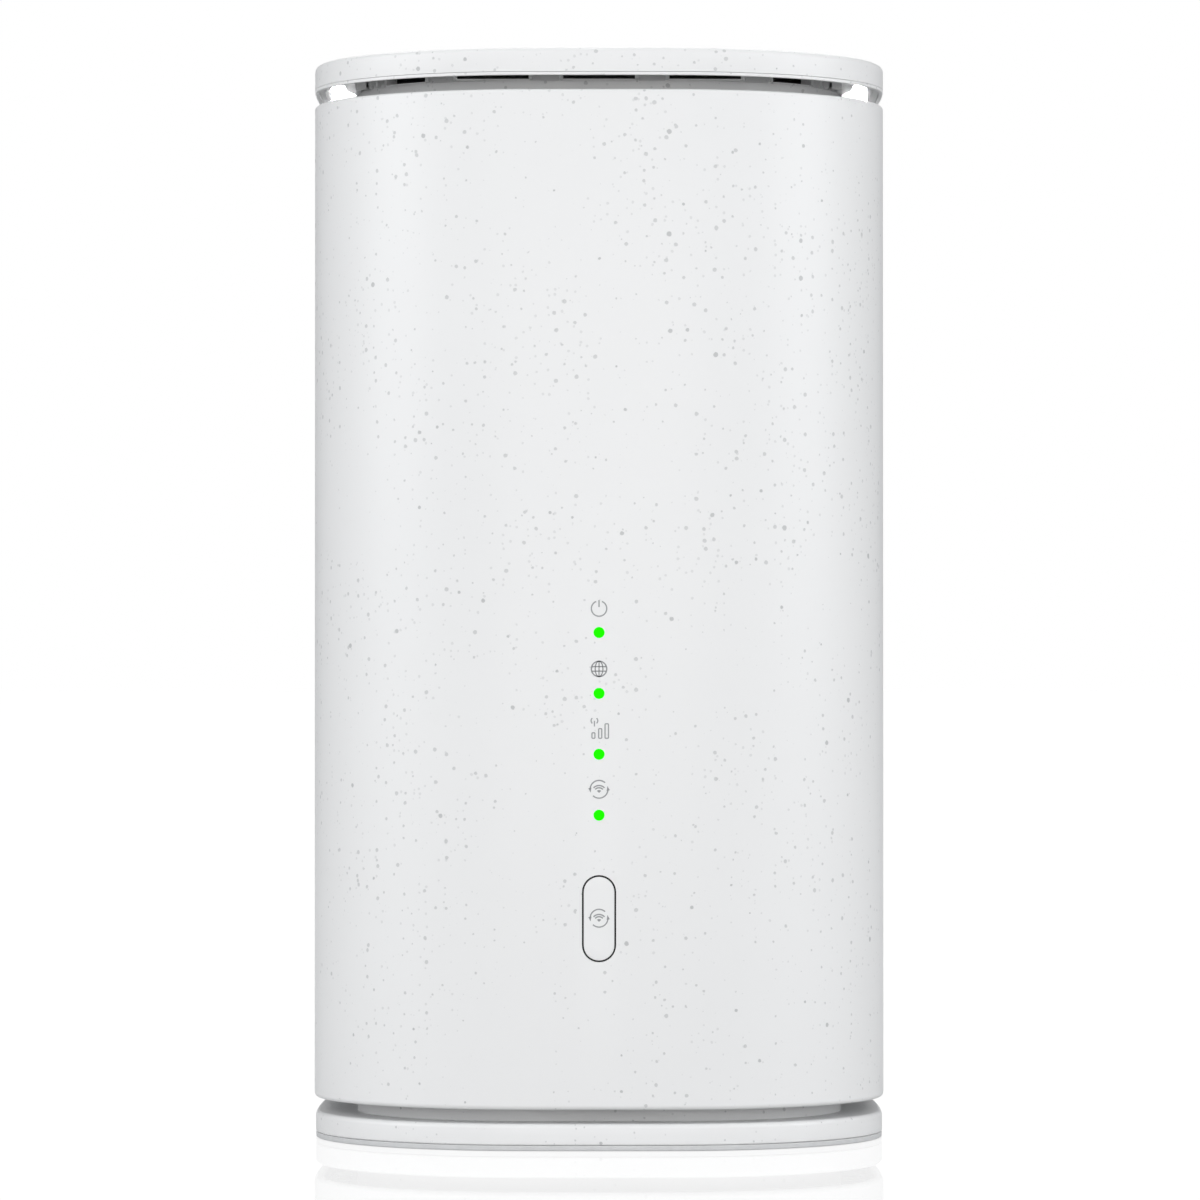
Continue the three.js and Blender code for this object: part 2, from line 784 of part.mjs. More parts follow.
// An eight-way network socket, its latch side down.
function networkJack() {
  const body = box(
    -NETWORK_WIDTH / 2,
    NETWORK_WIDTH / 2,
    CONNECTOR_BACK,
    PANEL_FACE,
    -NETWORK_HEIGHT / 2,
    NETWORK_HEIGHT / 2,
  );
  const floor = -NETWORK_HEIGHT / 2 + 1.2 + LATCH_DEPTH;
  const inner = PANEL_FACE - PLUG_DEPTH;
  const mouth = PANEL_FACE + 1;
  const plug = box(-PLUG_WIDTH / 2, PLUG_WIDTH / 2, inner, mouth, floor, floor + PLUG_HEIGHT);
  const latch = box(-LATCH_WIDTH / 2, LATCH_WIDTH / 2, inner, mouth, floor - LATCH_DEPTH, floor + 0.1);
  return cut(body, [plug, latch]);
}

function dcJack() {
  const size = DC_SIZE / 2;
  const body = box(-size, size, CONNECTOR_BACK, PANEL_FACE, -size, size);
  const bore = rodY(3.2, PANEL_FACE - 10, PANEL_FACE + 1, 0, 0, 16);
  const pin = rodY(1, PANEL_FACE - 10.5, PANEL_FACE - 0.8, 0, 0, 10);
  return joined([cut(body, [bore]), pin]);
}

function powerButton() {
  const cap = prismY(roundedRectangle(POWER_CAP, POWER_CAP, 1.2), 38.4, PANEL_FACE + 2.4);
  const flange = box(-5, 5, 42.2, PANEL_FACE - PANEL_THICKNESS - POWER_TRAVEL_ROOM, -5, 5);
  return joined([cap, flange]);
}

function resetPlunger() {
  const rod = rodY(0.9, 36, PANEL_FACE - 0.8, 0, 0, 10);
  const collar = rodY(2, 42, PANEL_FACE - PANEL_THICKNESS - FIT, 0, 0, 10);
  return joined([rod, collar]);
}

const switchBody = (size, height) =>
  box(-size / 2, size / 2, CONNECTOR_BACK, CONNECTOR_BACK + height, -size / 2, size / 2);

// A cage that takes the card tray through its open back.
function simReader() {
  const mouth = PANEL_FACE - PANEL_THICKNESS - 0.1;
  const x = SIM_CAGE_WIDTH / 2;
  const z = SIM_CAGE_HEIGHT / 2;
  const cage = box(-x, x, CONNECTOR_BACK, mouth, -z, z);
  const room = box(
    -TRAY_WIDTH / 2 - SLOT_ROOM,
    TRAY_WIDTH / 2 + SLOT_ROOM,
    CONNECTOR_BACK + 1,
    mouth + 1,
    -TRAY_HEIGHT / 2 - SLOT_ROOM,
    TRAY_HEIGHT / 2 + SLOT_ROOM,
  );
  return cut(cage, [room]);
}

// The card tray: a thin frame with a face plate that covers the slot.
function simTray() {
  const inner = CONNECTOR_BACK + 1.4;
  const mouth = PANEL_FACE + 0.4;
  const blade = box(-TRAY_WIDTH / 2, TRAY_WIDTH / 2, inner, mouth, -TRAY_HEIGHT / 2, TRAY_HEIGHT / 2);
  const face = prismY(roundedRectangle(18, 3.8, 1.2), PANEL_FACE + 0.2, PANEL_FACE + 1.4);
  const pocket = box(-6.2, 6.2, inner + 1, inner + 9.9, -0.1, TRAY_HEIGHT);
  return cut(joined([blade, face]), [pocket]);
}

function ports() {
  const jacks = NETWORK_JACK_Z.map((z, i) =>
    placed(node(`network_jack_${i + 1}`, networkJack(), darkPlastic()), 0, 0, z),
  );
  return assembly(
    node("port_panel", portPanel(), whitePlastic()),
    node("port_bezel", portBezel(), whitePlastic()),
    ...jacks,
    placed(node("dc_jack", dcJack(), darkPlastic()), 0, 0, DC_JACK_Z),
    placed(node("power_switch", switchBody(8, 4.4), darkPlastic()), 0, 0, POWER_BUTTON_Z),
    placed(node("power_button", powerButton(), greyPlastic()), 0, 0, POWER_BUTTON_Z),
    placed(node("reset_switch", switchBody(6, 3.5), darkPlastic()), 0, 0, RESET_Z),
    placed(node("reset_plunger", resetPlunger(), darkPlastic()), 0, 0, RESET_Z),
    placed(node("sim_reader", simReader(), steel()), 0, 0, SIM_Z),
    placed(node("sim_tray", simTray(), greyPlastic()), 0, 0, SIM_Z),
  );
}

// ---------------------------------------------------------------- antenna flap

const WELL_DEPTH = 7.6;
const WELL_WALL = 1.4;
const WELL_FLOOR = 1.6;
const SOCKET_X = 6;
const WELL_MOUTH = half - WALL - FIT;

function antennaWell() {
  const x = FLAP_WIDTH / 2 + FIT + WELL_WALL;
  const bottom = FLAP_BOTTOM - FIT - WELL_WALL;
  const top = FLAP_TOP + FIT + WELL_WALL;
  const innerFloor = WELL_MOUTH - WELL_DEPTH;
  // The side walls stop short of the housing where its corners start to turn in.
  const outside = box(-x, x, innerFloor - WELL_FLOOR, WELL_MOUTH - 0.4, bottom, top);
  const room = box(
    -x + WELL_WALL,
    x - WELL_WALL,
    innerFloor,
    half,
    bottom + WELL_WALL,
    top - WELL_WALL,
  );
  const socketHoles = [-SOCKET_X, SOCKET_X].map((sx) =>
    rodY(2.9, innerFloor - 3, innerFloor + 1, sx, flapMiddle + 1, 12),
  );
  const lugs = [-1, 1].map((side) => {
    const inner = BARREL_LENGTH / 2 + FIT;
    const tip = FLAP_WIDTH / 2;
    const root = box(inner, x - 0.5, innerFloor - 0.5, WELL_MOUTH - 0.4, HINGE_Z - 1, HINGE_Z + 1);
    const ear = box(inner, tip, WELL_MOUTH - 1, HINGE_Y + 0.8, HINGE_Z - 1, HINGE_Z + 1);
    const lug = joined([root, ear]);
    return side < 0 ? lug.mirror([1, 0, 0]) : lug;
  });
  const cup = cut(outside, [room, ...socketHoles]);
  return cut(joined([cup, ...lugs]), [rodX(PIN_BORE, 2 * FLAP_WIDTH, HINGE_Y, HINGE_Z)]);
}

// A small coaxial socket, open at the back.
function antennaSocket() {
  const floor = WELL_MOUTH - WELL_DEPTH;
  const profile = [
    [0, floor - 5.6],
    [2.6, floor - 5.6],
    [2.6, floor + 0.8],
    [1.9, floor + 0.8],
    [1.9, floor + 3],
    [1.2, floor + 3],
    [1.2, floor - 1],
    [0, floor - 1],
  ].map(([r, y]) => new THREE.Vector2(r, y));
  const geometry = new THREE.LatheGeometry(profile, 12);
  return toSolid(geometry);
}

// The flap: a plate over the well with a hinge barrel along its lower edge.
function antennaFlap() {
  const inner = FLAP_OUTER - FLAP_THICKNESS;
  const shoulder = HINGE_Z + 1.4;
  const plate = box(-FLAP_WIDTH / 2, FLAP_WIDTH / 2, inner, FLAP_OUTER, shoulder, FLAP_TOP);
  const neck = box(-BARREL_LENGTH / 2, BARREL_LENGTH / 2, inner, FLAP_OUTER, HINGE_Z, shoulder + 0.1);
  const barrel = rodX(BARREL_RADIUS, BARREL_LENGTH, HINGE_Y, HINGE_Z, 16);
  const bore = rodX(PIN_BORE, 2 * FLAP_WIDTH, HINGE_Y, HINGE_Z);
  const roomForEdges = prismZ(plan(0.1), FLAP_BOTTOM - 1, FLAP_TOP + 1);
  return cut(joined([plate, neck, barrel]), [bore]).intersect(roomForEdges);
}

function antennaPorts() {
  const pin = rodX(PIN_RADIUS, FLAP_WIDTH - 0.4, HINGE_Y, HINGE_Z);
  return assembly(
    node("antenna_well", antennaWell(), greyPlastic()),
    placed(node("antenna_socket_left", antennaSocket(), steel()), -SOCKET_X, 0, flapMiddle + 1),
    placed(node("antenna_socket_right", antennaSocket(), steel()), SOCKET_X, 0, flapMiddle + 1),
    node("antenna_flap", antennaFlap(), whitePlastic()),
    node("flap_pin", pin, steel()),
  );
}

// ---------------------------------------------------------------- whole

const wifiNode = assembly(
  base(),
  node("housing_shell", housingShell(), whitePlastic()),
  top(),
  frontControls(),
  electronics(),
  ports(),
  antennaPorts(),
);

export default wifiNode;
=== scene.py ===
"""An upright mesh wifi node: fine surfaces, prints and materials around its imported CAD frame."""

import json
import math

import bmesh
import bpy
from mathutils import Matrix, Vector


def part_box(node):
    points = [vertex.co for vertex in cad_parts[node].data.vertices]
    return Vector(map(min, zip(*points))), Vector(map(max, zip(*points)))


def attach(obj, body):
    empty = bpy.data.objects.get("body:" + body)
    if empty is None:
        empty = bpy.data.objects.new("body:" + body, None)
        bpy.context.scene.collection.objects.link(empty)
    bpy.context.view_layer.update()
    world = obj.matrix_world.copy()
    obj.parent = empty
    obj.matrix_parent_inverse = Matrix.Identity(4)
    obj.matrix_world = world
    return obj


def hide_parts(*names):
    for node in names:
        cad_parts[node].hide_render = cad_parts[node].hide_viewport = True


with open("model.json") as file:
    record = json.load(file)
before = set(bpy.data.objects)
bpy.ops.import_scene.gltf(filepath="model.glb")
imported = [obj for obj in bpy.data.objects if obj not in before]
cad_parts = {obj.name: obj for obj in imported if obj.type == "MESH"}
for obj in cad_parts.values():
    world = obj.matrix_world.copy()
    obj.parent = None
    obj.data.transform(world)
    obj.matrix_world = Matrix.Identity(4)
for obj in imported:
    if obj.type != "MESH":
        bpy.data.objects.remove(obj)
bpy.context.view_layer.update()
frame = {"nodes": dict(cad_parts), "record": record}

MM = 0.001
DEGREE = math.radians(1)
SHARP_ANGLE = 32 * DEGREE  # edges steeper than this stay sharp to the eye
BEVELLED_ANGLE = 35 * DEGREE  # and those steeper than this are rounded, where a piece takes a node's shape

# ---------------------------------------------------------------- sizes, in mm, mostly from the frame


def low(node, axis):
    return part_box(node)[0]["xyz".index(axis)] / MM


def high(node, axis):
    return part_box(node)[1]["xyz".index(axis)] / MM


def middle(node, axis):
    return (low(node, axis) + high(node, axis)) / 2


def across(node, axis):
    return high(node, axis) - low(node, axis)


HALF = high("housing_shell", "x")
SKIN = 0.03  # the outer faces stand this far inside the CAD, so that the prints on them stay within its box
FACE = HALF - SKIN

HOUSING_BOTTOM = low("housing_shell", "z")
HOUSING_TOP = high("housing_shell", "z")
FOOT_TOP = high("foot_pad", "z")
BASE_TOP = high("base_plate", "z")
LIP_BOTTOM = low("lid_lip", "z")
LIP_TOP = low("lid_cover", "z")
LID_TOP = high("lid_cover", "z")
NECK_INSET = HALF - high("vent_ring", "x")
NECK_WALL = 2
NECK_BOTTOM = low("vent_ring", "z")
NECK_CUT = NECK_INSET + NECK_WALL + 6  # how deep the slots are cut, from the outer face

SIDE_RADIUS = 495  # the long shallow arc of each side of the plan
CORNER_RADIUS = 41.1
SIDE_STEPS = 8
CORNER_STEPS = 26
CORNERS = ((1, 1), (-1, 1), (-1, -1), (1, -1))

WALL = 2
LID_WALL = 2
SEAM = 0.06
LIP_SETBACK = 0.03
LIP_INNER_INSET = 0.9
LIP_THICKNESS = 0.28
GROOVE_CEILING = 203.1  # the lid's hollow is deepest just inside its wall
INNER_CEILING = 201.9
GROOVE_INSET = 5.2
FLARE_INSET = 9.4
FLARE_BOTTOM = 200.45
FLARE_GAP = 0.03
LID_MIDDLE = FLARE_INSET + 4  # the lid's roof closes inside this ring

SLOT_WIDTH = 13.4
SLOT_PITCH = 19.8
CORNER_SLOT = (35.5, 53.5)  # degrees from the front or back, about the corner's centre
CORNER_RIBS = (59.7, 65.3)
SLOT_SILL = 198.95
SLOPE_BOTTOM = 198.55  # from here up to the flare the neck slopes in, and the slots are cut through the slope
RIB_WIDTH = 0.7
RIB_DEPTH = 0.4
RIB_ANGLE = RIB_WIDTH / (CORNER_RADIUS - NECK_INSET) / DEGREE
LEDGE_HEIGHT = 0.28  # a ledge under each slot, as proud as the ribs beside it
LEDGE_DROP = 0.08

LIGHTS = ("wifi", "signal", "internet", "power")
LIGHT_RADIUS = 0.965
LIGHT_GAP = 0.07
LIGHT_FLANGE_RADIUS = 1.9
LIGHT_FLANGE_BACK = -50.8
FLANGE_FRONT = -HALF + WALL + 0.3  # the lights' and the button's flanges start this close behind the wall
PRINT_DEPTH = 0.02
TOUCHING = 1e-5
LEAST_RADIUS = 0.02
ICON_RADIUS = 1.42
ICON_RISE = {"power": 4.42, "internet": 4.53, "signal": 2.85, "wifi": 4.8}  # above each light
STROKE = 0.24
BACK_STROKE = 0.3

# ---------------------------------------------------------------- outlines

SIDE_CENTRE = SIDE_RADIUS - HALF
CENTRE_DISTANCE = SIDE_RADIUS - CORNER_RADIUS
CORNER_CENTRE = (math.sqrt(2 * CENTRE_DISTANCE**2 - SIDE_CENTRE**2) - SIDE_CENTRE) / 2
SIDE_ANGLE = math.atan2(CORNER_CENTRE, SIDE_CENTRE + CORNER_CENTRE)


def arc(centre, radius, start, end, steps):
    """Points along an arc, without its last one."""
    angles = (start + (end - start) * i / steps for i in range(steps))
    return [centre + radius * Vector((math.cos(a), math.sin(a))) for a in angles]


def plan_points(inset):
    """The rounded-square outline, `inset` inside the outer face."""
    quarter = arc(Vector((-SIDE_CENTRE, 0)), SIDE_RADIUS - inset, -SIDE_ANGLE, SIDE_ANGLE, SIDE_STEPS)
    corner = Vector((CORNER_CENTRE, CORNER_CENTRE))
    quarter += arc(corner, CORNER_RADIUS - inset, SIDE_ANGLE, math.pi / 2 - SIDE_ANGLE, CORNER_STEPS)
    return [Matrix.Rotation(turn * math.pi / 2, 2) @ point for turn in range(4) for point in quarter]


def rounded(corners, steps=5):
    """An outline with each corner (u, v, radius) rounded."""
    outline = []
    for i, (u, v, radius) in enumerate(corners):
        here = Vector((u, v))
        if not radius:
            outline.append(here)
            continue
        before = (Vector(corners[i - 1][:2]) - here).normalized()
        after = (Vector(corners[(i + 1) % len(corners)][:2]) - here).normalized()
        half_angle = before.angle(after) / 2
        centre = here + (before + after).normalized() * radius / math.sin(half_angle)
        start = here + before * radius / math.tan(half_angle) - centre
        end = here + after * radius / math.tan(half_angle) - centre
        outline += [centre + start.slerp(end, step / steps) * radius for step in range(steps + 1)]
    return outline


def rectangle(width, height, radius, steps=8):
    """A rectangle about the origin, its corners rounded."""
    reach = (width / 2 - radius, height / 2 - radius)
    points = []
    for turn, (side_u, side_v) in enumerate(((1, 1), (-1, 1), (-1, -1), (1, -1))):
        centre = Vector((side_u * reach[0], side_v * reach[1]))
        for step in range(steps + 1):
            angle = (turn + step / steps) * math.pi / 2
            points.append(centre + radius * Vector((math.cos(angle), math.sin(angle))))
    return [point for i, point in enumerate(points) if (point - points[i - 1]).length > TOUCHING]


# ---------------------------------------------------------------- solids, as meshes in mm


def loft(loops, closed=False):
    """A solid through a row of matching loops, its ends capped unless the row closes on itself."""
    mesh = bmesh.new()
    rings = [[mesh.verts.new(point) for point in loop] for loop in loops]
    followers = rings[1:] + rings[:1] if closed else rings[1:]
    for ring, follower in zip(rings, followers):
        for i, vertex in enumerate(ring):
            j = (i + 1) % len(ring)
            mesh.faces.new((vertex, ring[j], follower[j], follower[i]))
    if not closed:
        mesh.faces.new(rings[0])
        mesh.faces.new(rings[-1])
    bmesh.ops.recalc_face_normals(mesh, faces=mesh.faces)
    return mesh


def around_plan(profile, closed=True):
    """The solid that a section of (inset, z) points makes when it runs round the plan."""
    loops = [[Vector((point.x, point.y, z)) for point in plan_points(inset)] for inset, z in profile]
    return loft(loops, closed)


def around_rectangle(width, height, radius, profile, z, closed=False):
    """The same round an upright rectangle that faces front or back, for (inset, y) points."""
    loops = []
    for inset, y in profile:
        corner = max(radius - inset, LEAST_RADIUS)
        points = rectangle(width - 2 * inset, height - 2 * inset, corner)
        loops.append([Vector((point.x, y, z + point.y)) for point in points])
    return loft(loops, closed)


def turned(profile, z):
    """A turned solid whose axis runs front to back, for (radius, y) points."""
    circle = arc(Vector((0, 0)), 1, 0, 2 * math.pi, 40)
    return loft([[Vector((radius * p.x, y, z + radius * p.y)) for p in circle] for radius, y in profile])


def turned_upright(profile, x, y):
    """A turned solid whose axis is upright, for (radius, z) points."""
    circle = arc(Vector((0, 0)), 1, 0, 2 * math.pi, 32)
    return loft([[Vector((x + radius * p.x, y + radius * p.y, z)) for p in circle] for radius, z in profile])


def slab(outline, front, back):
    """An upright plate of an outline drawn as seen from the front."""
    return loft([[Vector((point.x, y, point.y)) for point in outline] for y in (front, back)])


def block(x0, x1, y0, y1, z0, z1):
    corners = ((x0, y0), (x1, y0), (x1, y1), (x0, y1))
    return loft([[Vector((x, y, z)) for x, y in corners] for z in (z0, z1)])


def together(meshes):
    """Several meshes as one, without joining their surfaces."""
    whole = bmesh.new()
    for mesh in meshes:
        part = bpy.data.meshes.new("part")
        mesh.to_mesh(part)
        mesh.free()
        whole.from_mesh(part)
        bpy.data.meshes.remove(part)
    return whole


def combined(mesh, tool, operation):
    """A mesh cut by, cut to or joined with a tool mesh."""
    objects = []
    for name, source in (("body", mesh), ("tool", tool)):
        data = bpy.data.meshes.new(name)
        source.to_mesh(data)
        source.free()
        objects.append(bpy.data.objects.new(name, data))
        bpy.context.scene.collection.objects.link(objects[-1])
    body, cutter = objects
    modifier = body.modifiers.new("combine", "BOOLEAN")
    modifier.solver = "EXACT"
    modifier.operation = operation
    modifier.object = cutter
    evaluated = body.evaluated_get(bpy.context.evaluated_depsgraph_get())
    result = bmesh.new()
    result.from_mesh(evaluated.to_mesh())
    for leftover in objects:
        data = leftover.data
        bpy.data.objects.remove(leftover)
        bpy.data.meshes.remove(data)
    return result


def cut(mesh, tools):
    return combined(mesh, together(tools), "DIFFERENCE")


def four_ways(make):
    """What `make` builds for the front, turned to all four sides."""
    parts = []
    for turn in range(4):
        part = make()
        around = Matrix.Rotation(turn * math.pi / 2, 3, "Z")
        bmesh.ops.rotate(part, verts=part.verts, cent=(0, 0, 0), matrix=around)
        parts.append(part)
    return parts


# ---------------------------------------------------------------- pieces


def piece(name, mesh, body, slot, nodes=(), surface=None):
    """A finished piece: its mesh in metres, with its material, its body and the nodes it stands for."""
    bmesh.ops.scale(mesh, vec=(MM, MM, MM), verts=mesh.verts)
    data = bpy.data.meshes.new(name)
    mesh.to_mesh(data)
    mesh.free()
    data.shade_smooth()
    data.set_sharp_from_angle(angle=SHARP_ANGLE)
    data.materials.append(surface or surfaces[slot])
    thing = bpy.data.objects.new(name, data)
    bpy.context.scene.collection.objects.link(thing)
    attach(thing, body)
    if nodes:
        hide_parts(*nodes)


def softened(node, name, body, slot, width):
    """A piece in a CAD node's own shape, with its edges rounded."""
    mesh = bmesh.new()
    mesh.from_mesh(frame["nodes"][node].data)
    bmesh.ops.scale(mesh, vec=(1 / MM, 1 / MM, 1 / MM), verts=mesh.verts)
    bmesh.ops.remove_doubles(mesh, verts=mesh.verts, dist=0.001)
    bmesh.ops.dissolve_limit(mesh, angle_limit=DEGREE, verts=mesh.verts, edges=mesh.edges)
    sharp = [edge for edge in mesh.edges if edge.is_manifold and edge.calc_face_angle() > BEVELLED_ANGLE]
    bmesh.ops.bevel(
        mesh, geom=sharp, offset=width, segments=3, profile=0.5, affect="EDGES", clamp_overlap=True
    )
    piece(name, mesh, body, slot, [node])


# ---------------------------------------------------------------- materials

WHITE = (0.845, 0.845, 0.845)
INK = (0.33, 0.335, 0.34)
FLECK = (0.49, 0.495, 0.5)
FLECK_LAYERS = ((1.2, 0.34, 0.32, 3), (1.85, 0.46, 0.6, 17), (4.2, 0.55, 0.85, 41))
FLECK_SOFTNESS = 0.12
FLECK_WOBBLE = 0.22
FLECK_WOBBLE_GRAIN = 0.45


class Recipe:
    """One procedural material, built node by node in the object's own coordinates."""

    def __init__(self, name, colour, roughness, **settings):
        self.material = bpy.data.materials.new(name)
        self.material.use_nodes = True
        self.tree = self.material.node_tree
        self.shader = self.tree.nodes["Principled BSDF"]
        self.place = self.add("TexCoord").outputs["Object"]
        self.colour = (*colour, 1)
        self.shader.inputs["Base Color"].default_value = self.colour
        self.shader.inputs["Roughness"].default_value = roughness
        for key, value in settings.items():
            self.shader.inputs[key.replace("_", " ")].default_value = value

    def add(self, kind, settings=None, **inputs):
        node = self.tree.nodes.new("ShaderNode" + kind)
        for key, value in (settings or {}).items():
            setattr(node, key, value)
        for key, value in inputs.items():
            self.feed(node.inputs[key.replace("_", " ")], value)
        return node

    def feed(self, socket, value):
        if isinstance(value, bpy.types.NodeSocket):
            self.tree.links.new(value, socket)
        else:
            socket.default_value = value

    def math(self, operation, first, second):
        node = self.add("Math", {"operation": operation})
        self.feed(node.inputs[0], first)
        self.feed(node.inputs[1], second)
        return node.outputs[0]

    def noise(self, grain, detail, place=None):
        """Smooth noise from 0 to 1 whose lumps are about `grain` mm across."""
        vector = place or self.place
        return self.add("TexNoise", Vector=vector, Scale=1 / (grain * MM), Detail=detail).outputs["Fac"]

    def stretched(self, squeeze):
        """The object's coordinates, squeezed along one axis or more, for brushed marks."""
        return self.add("Mapping", Vector=self.place, Scale=squeeze).outputs["Vector"]

    def between(self, value, from_low, from_high, to_low, to_high):
        node = self.add("MapRange", {"clamp": True})
        for socket, number in zip(node.inputs, (value, from_low, from_high, to_low, to_high)):
            self.feed(socket, number)
        return node.outputs["Result"]

    def tint(self, amount, colour):
        """Lays a colour over the one so far, by an amount from 0 to 1."""
        mix = self.add("Mix", {"data_type": "RGBA"})
        self.feed(mix.inputs["Factor"], amount)
        self.feed(mix.inputs[6], self.colour)
        self.feed(mix.inputs[7], (*colour, 1))
        self.colour = mix.outputs[2]
        self.feed(self.shader.inputs["Base Color"], self.colour)

    def rough(self, value, low_end, high_end):
        self.feed(self.shader.inputs["Roughness"], self.between(value, 0.3, 0.7, low_end, high_end))

    def bump(self, height, depth):
        """Bumps up to `depth` mm high."""
        node = self.add("Bump", Strength=1.0, Distance=depth * MM, Height=height)
        self.feed(self.shader.inputs["Normal"], node.outputs["Normal"])


def add_flecks(recipe, clusters, cell, radius, strength, seed):
    """Flecks embedded through the plastic: one in each `cell` mm, up to `radius` mm, in loose clusters."""
    wobble = recipe.add("TexNoise", Vector=recipe.place, Scale=1 / (FLECK_WOBBLE_GRAIN * MM), Detail=1.0)
    shift = recipe.add("VectorMath", {"operation": "MULTIPLY_ADD"})
    recipe.feed(shift.inputs[0], wobble.outputs["Color"])
    recipe.feed(shift.inputs[1], (FLECK_WOBBLE * MM,) * 3)
    recipe.feed(shift.inputs[2], recipe.place)
    offset = recipe.add("VectorMath", {"operation": "ADD"})
    recipe.feed(offset.inputs[0], shift.outputs[0])
    recipe.feed(offset.inputs[1], (seed * MM,) * 3)
    cells = recipe.add("TexVoronoi", Vector=offset.outputs[0], Scale=1 / (cell * MM))
    chance = recipe.add("SeparateColor", Color=cells.outputs["Color"])
    size = recipe.between(recipe.math("MULTIPLY", chance.outputs[0], clusters), 0.06, 0.75, 0, radius / cell)
    inside = recipe.math("SUBTRACT", size, cells.outputs["Distance"])
    mask = recipe.between(inside, 0, FLECK_SOFTNESS / cell, 0, strength)
    recipe.tint(mask, FLECK)


def speckled_plastic(name, flecks=True):
    """White plastic with a fine grain; its flecks lie in loose clusters and thin out towards the base."""
    recipe = Recipe(name, WHITE, 0.38)
    cloud = recipe.noise(60, 1)
    recipe.tint(recipe.between(cloud, 0.35, 0.65, 0, 0.3), (0.82, 0.822, 0.825))
    if flecks:
        height = recipe.add("SeparateXYZ", Vector=recipe.place).outputs["Z"]
        clusters = recipe.between(recipe.noise(26, 2), 0.36, 0.6, 0.45, 1)
        clusters = recipe.math("MULTIPLY", clusters, recipe.between(height, 0.01, 0.1, 0.74, 1))
        for layer in FLECK_LAYERS:
            add_flecks(recipe, clusters, *layer)
    grain = recipe.noise(0.35, 2)
    recipe.rough(grain, 0.34, 0.42)
    recipe.bump(grain, 0.008)
    return recipe.material


def moulded_plastic(name, colour, roughness, depth=0.01):
    recipe = Recipe(name, colour, roughness, Specular_IOR_Level=0.4)
    cloud = recipe.noise(14, 2)
    recipe.tint(recipe.between(cloud, 0.3, 0.7, 0, 0.5), [channel * 0.85 for channel in colour])
    texture = recipe.noise(0.35, 2)
    recipe.rough(texture, roughness - 0.06, roughness + 0.06)
    recipe.bump(texture, depth)
    return recipe.material


def soft_rubber(name, colour):
    recipe = Recipe(name, colour, 0.85, Specular_IOR_Level=0.2)
    recipe.tint(recipe.between(recipe.noise(3, 3), 0.35, 0.65, 0, 0.6), [channel * 0.9 for channel in colour])
    pores = recipe.noise(0.2, 2)
    recipe.rough(pores, 0.8, 0.92)
    recipe.bump(pores, 0.02)
    return recipe.material


def brushed_metal(name, colour, roughness, stretch):
    recipe = Recipe(name, colour, roughness, Metallic=1.0)
    marks = recipe.noise(0.25, 3, recipe.stretched(stretch))
    recipe.tint(recipe.between(marks, 0.3, 0.7, 0, 0.5), [channel * 0.8 for channel in colour])
    recipe.rough(marks, roughness - 0.08, roughness + 0.1)
    recipe.bump(marks, 0.006)
    return recipe.material


def circuit_board(name):
    recipe = Recipe(name, (0.012, 0.06, 0.028), 0.35)
    planes = recipe.add("TexVoronoi", {"distance": "CHEBYCHEV"}, Vector=recipe.place, Scale=1 / (6 * MM))
    copper = recipe.add("SeparateColor", Color=planes.outputs["Color"])
    recipe.tint(recipe.between(copper.outputs[1], 0.45, 0.5, 0, 0.7), (0.02, 0.1, 0.045))
    recipe.tint(recipe.between(recipe.noise(1.2, 1), 0.6, 0.63, 0, 0.5), (0.035, 0.14, 0.07))
    recipe.rough(recipe.noise(2, 2), 0.3, 0.42)
    recipe.bump(copper.outputs[1], 0.02)
    return recipe.material


def printed_ink(name, colour):
    recipe = Recipe(name, colour, 0.55, Specular_IOR_Level=0.3)
    dots = recipe.noise(0.12, 1)
    recipe.tint(recipe.between(dots, 0.35, 0.65, 0, 0.25), [channel * 0.85 for channel in colour])
    recipe.rough(dots, 0.5, 0.6)
    return recipe.material


def lit_lens(name, colour):
    recipe = Recipe(name, (0.001, 0.2, 0.001), 0.4, Specular_IOR_Level=0.0)
    recipe.tint(recipe.between(recipe.noise(0.6, 2), 0.3, 0.7, 0, 0.6), (0.001, 0.26, 0.001))
    recipe.shader.inputs["Emission Color"].default_value = (*colour, 1)
    recipe.shader.inputs["Emission Strength"].default_value = 1.0
    return recipe.material


surfaces = {
    "white_plastic": speckled_plastic("white_plastic"),
    "grey_plastic": moulded_plastic("grey_plastic", (0.5, 0.51, 0.52), 0.5),
    "dark_plastic": moulded_plastic("dark_plastic", (0.018, 0.018, 0.02), 0.42, depth=0.006),
    "rubber_pad": soft_rubber("rubber_pad", (0.66, 0.665, 0.67)),
    "circuit_board": circuit_board("circuit_board"),
    "steel": brushed_metal("steel", (0.6, 0.61, 0.62), 0.34, (1, 8, 8)),
    "heat_sink_metal": brushed_metal("heat_sink_metal", (0.68, 0.69, 0.7), 0.42, (1, 1, 0.1)),
    "gold_contact": brushed_metal("gold_contact", (0.83, 0.62, 0.25), 0.25, (4, 4, 1)),
    "thermal_pad": soft_rubber("thermal_pad", (0.45, 0.3, 0.36)),
    "green_light": lit_lens("green_light", (0.014, 1.0, 0.0)),
}
plain_white = speckled_plastic("button_plastic", flecks=False)
ink = printed_ink("icon_ink", INK)

for row in frame["record"]["subparts"]:
    cad_object = frame["nodes"][row["node"]]
    cad_object.data.materials.clear()
    cad_object.data.materials.append(surfaces[row["material_slot"]])

# ---------------------------------------------------------------- lid, lip and upper neck


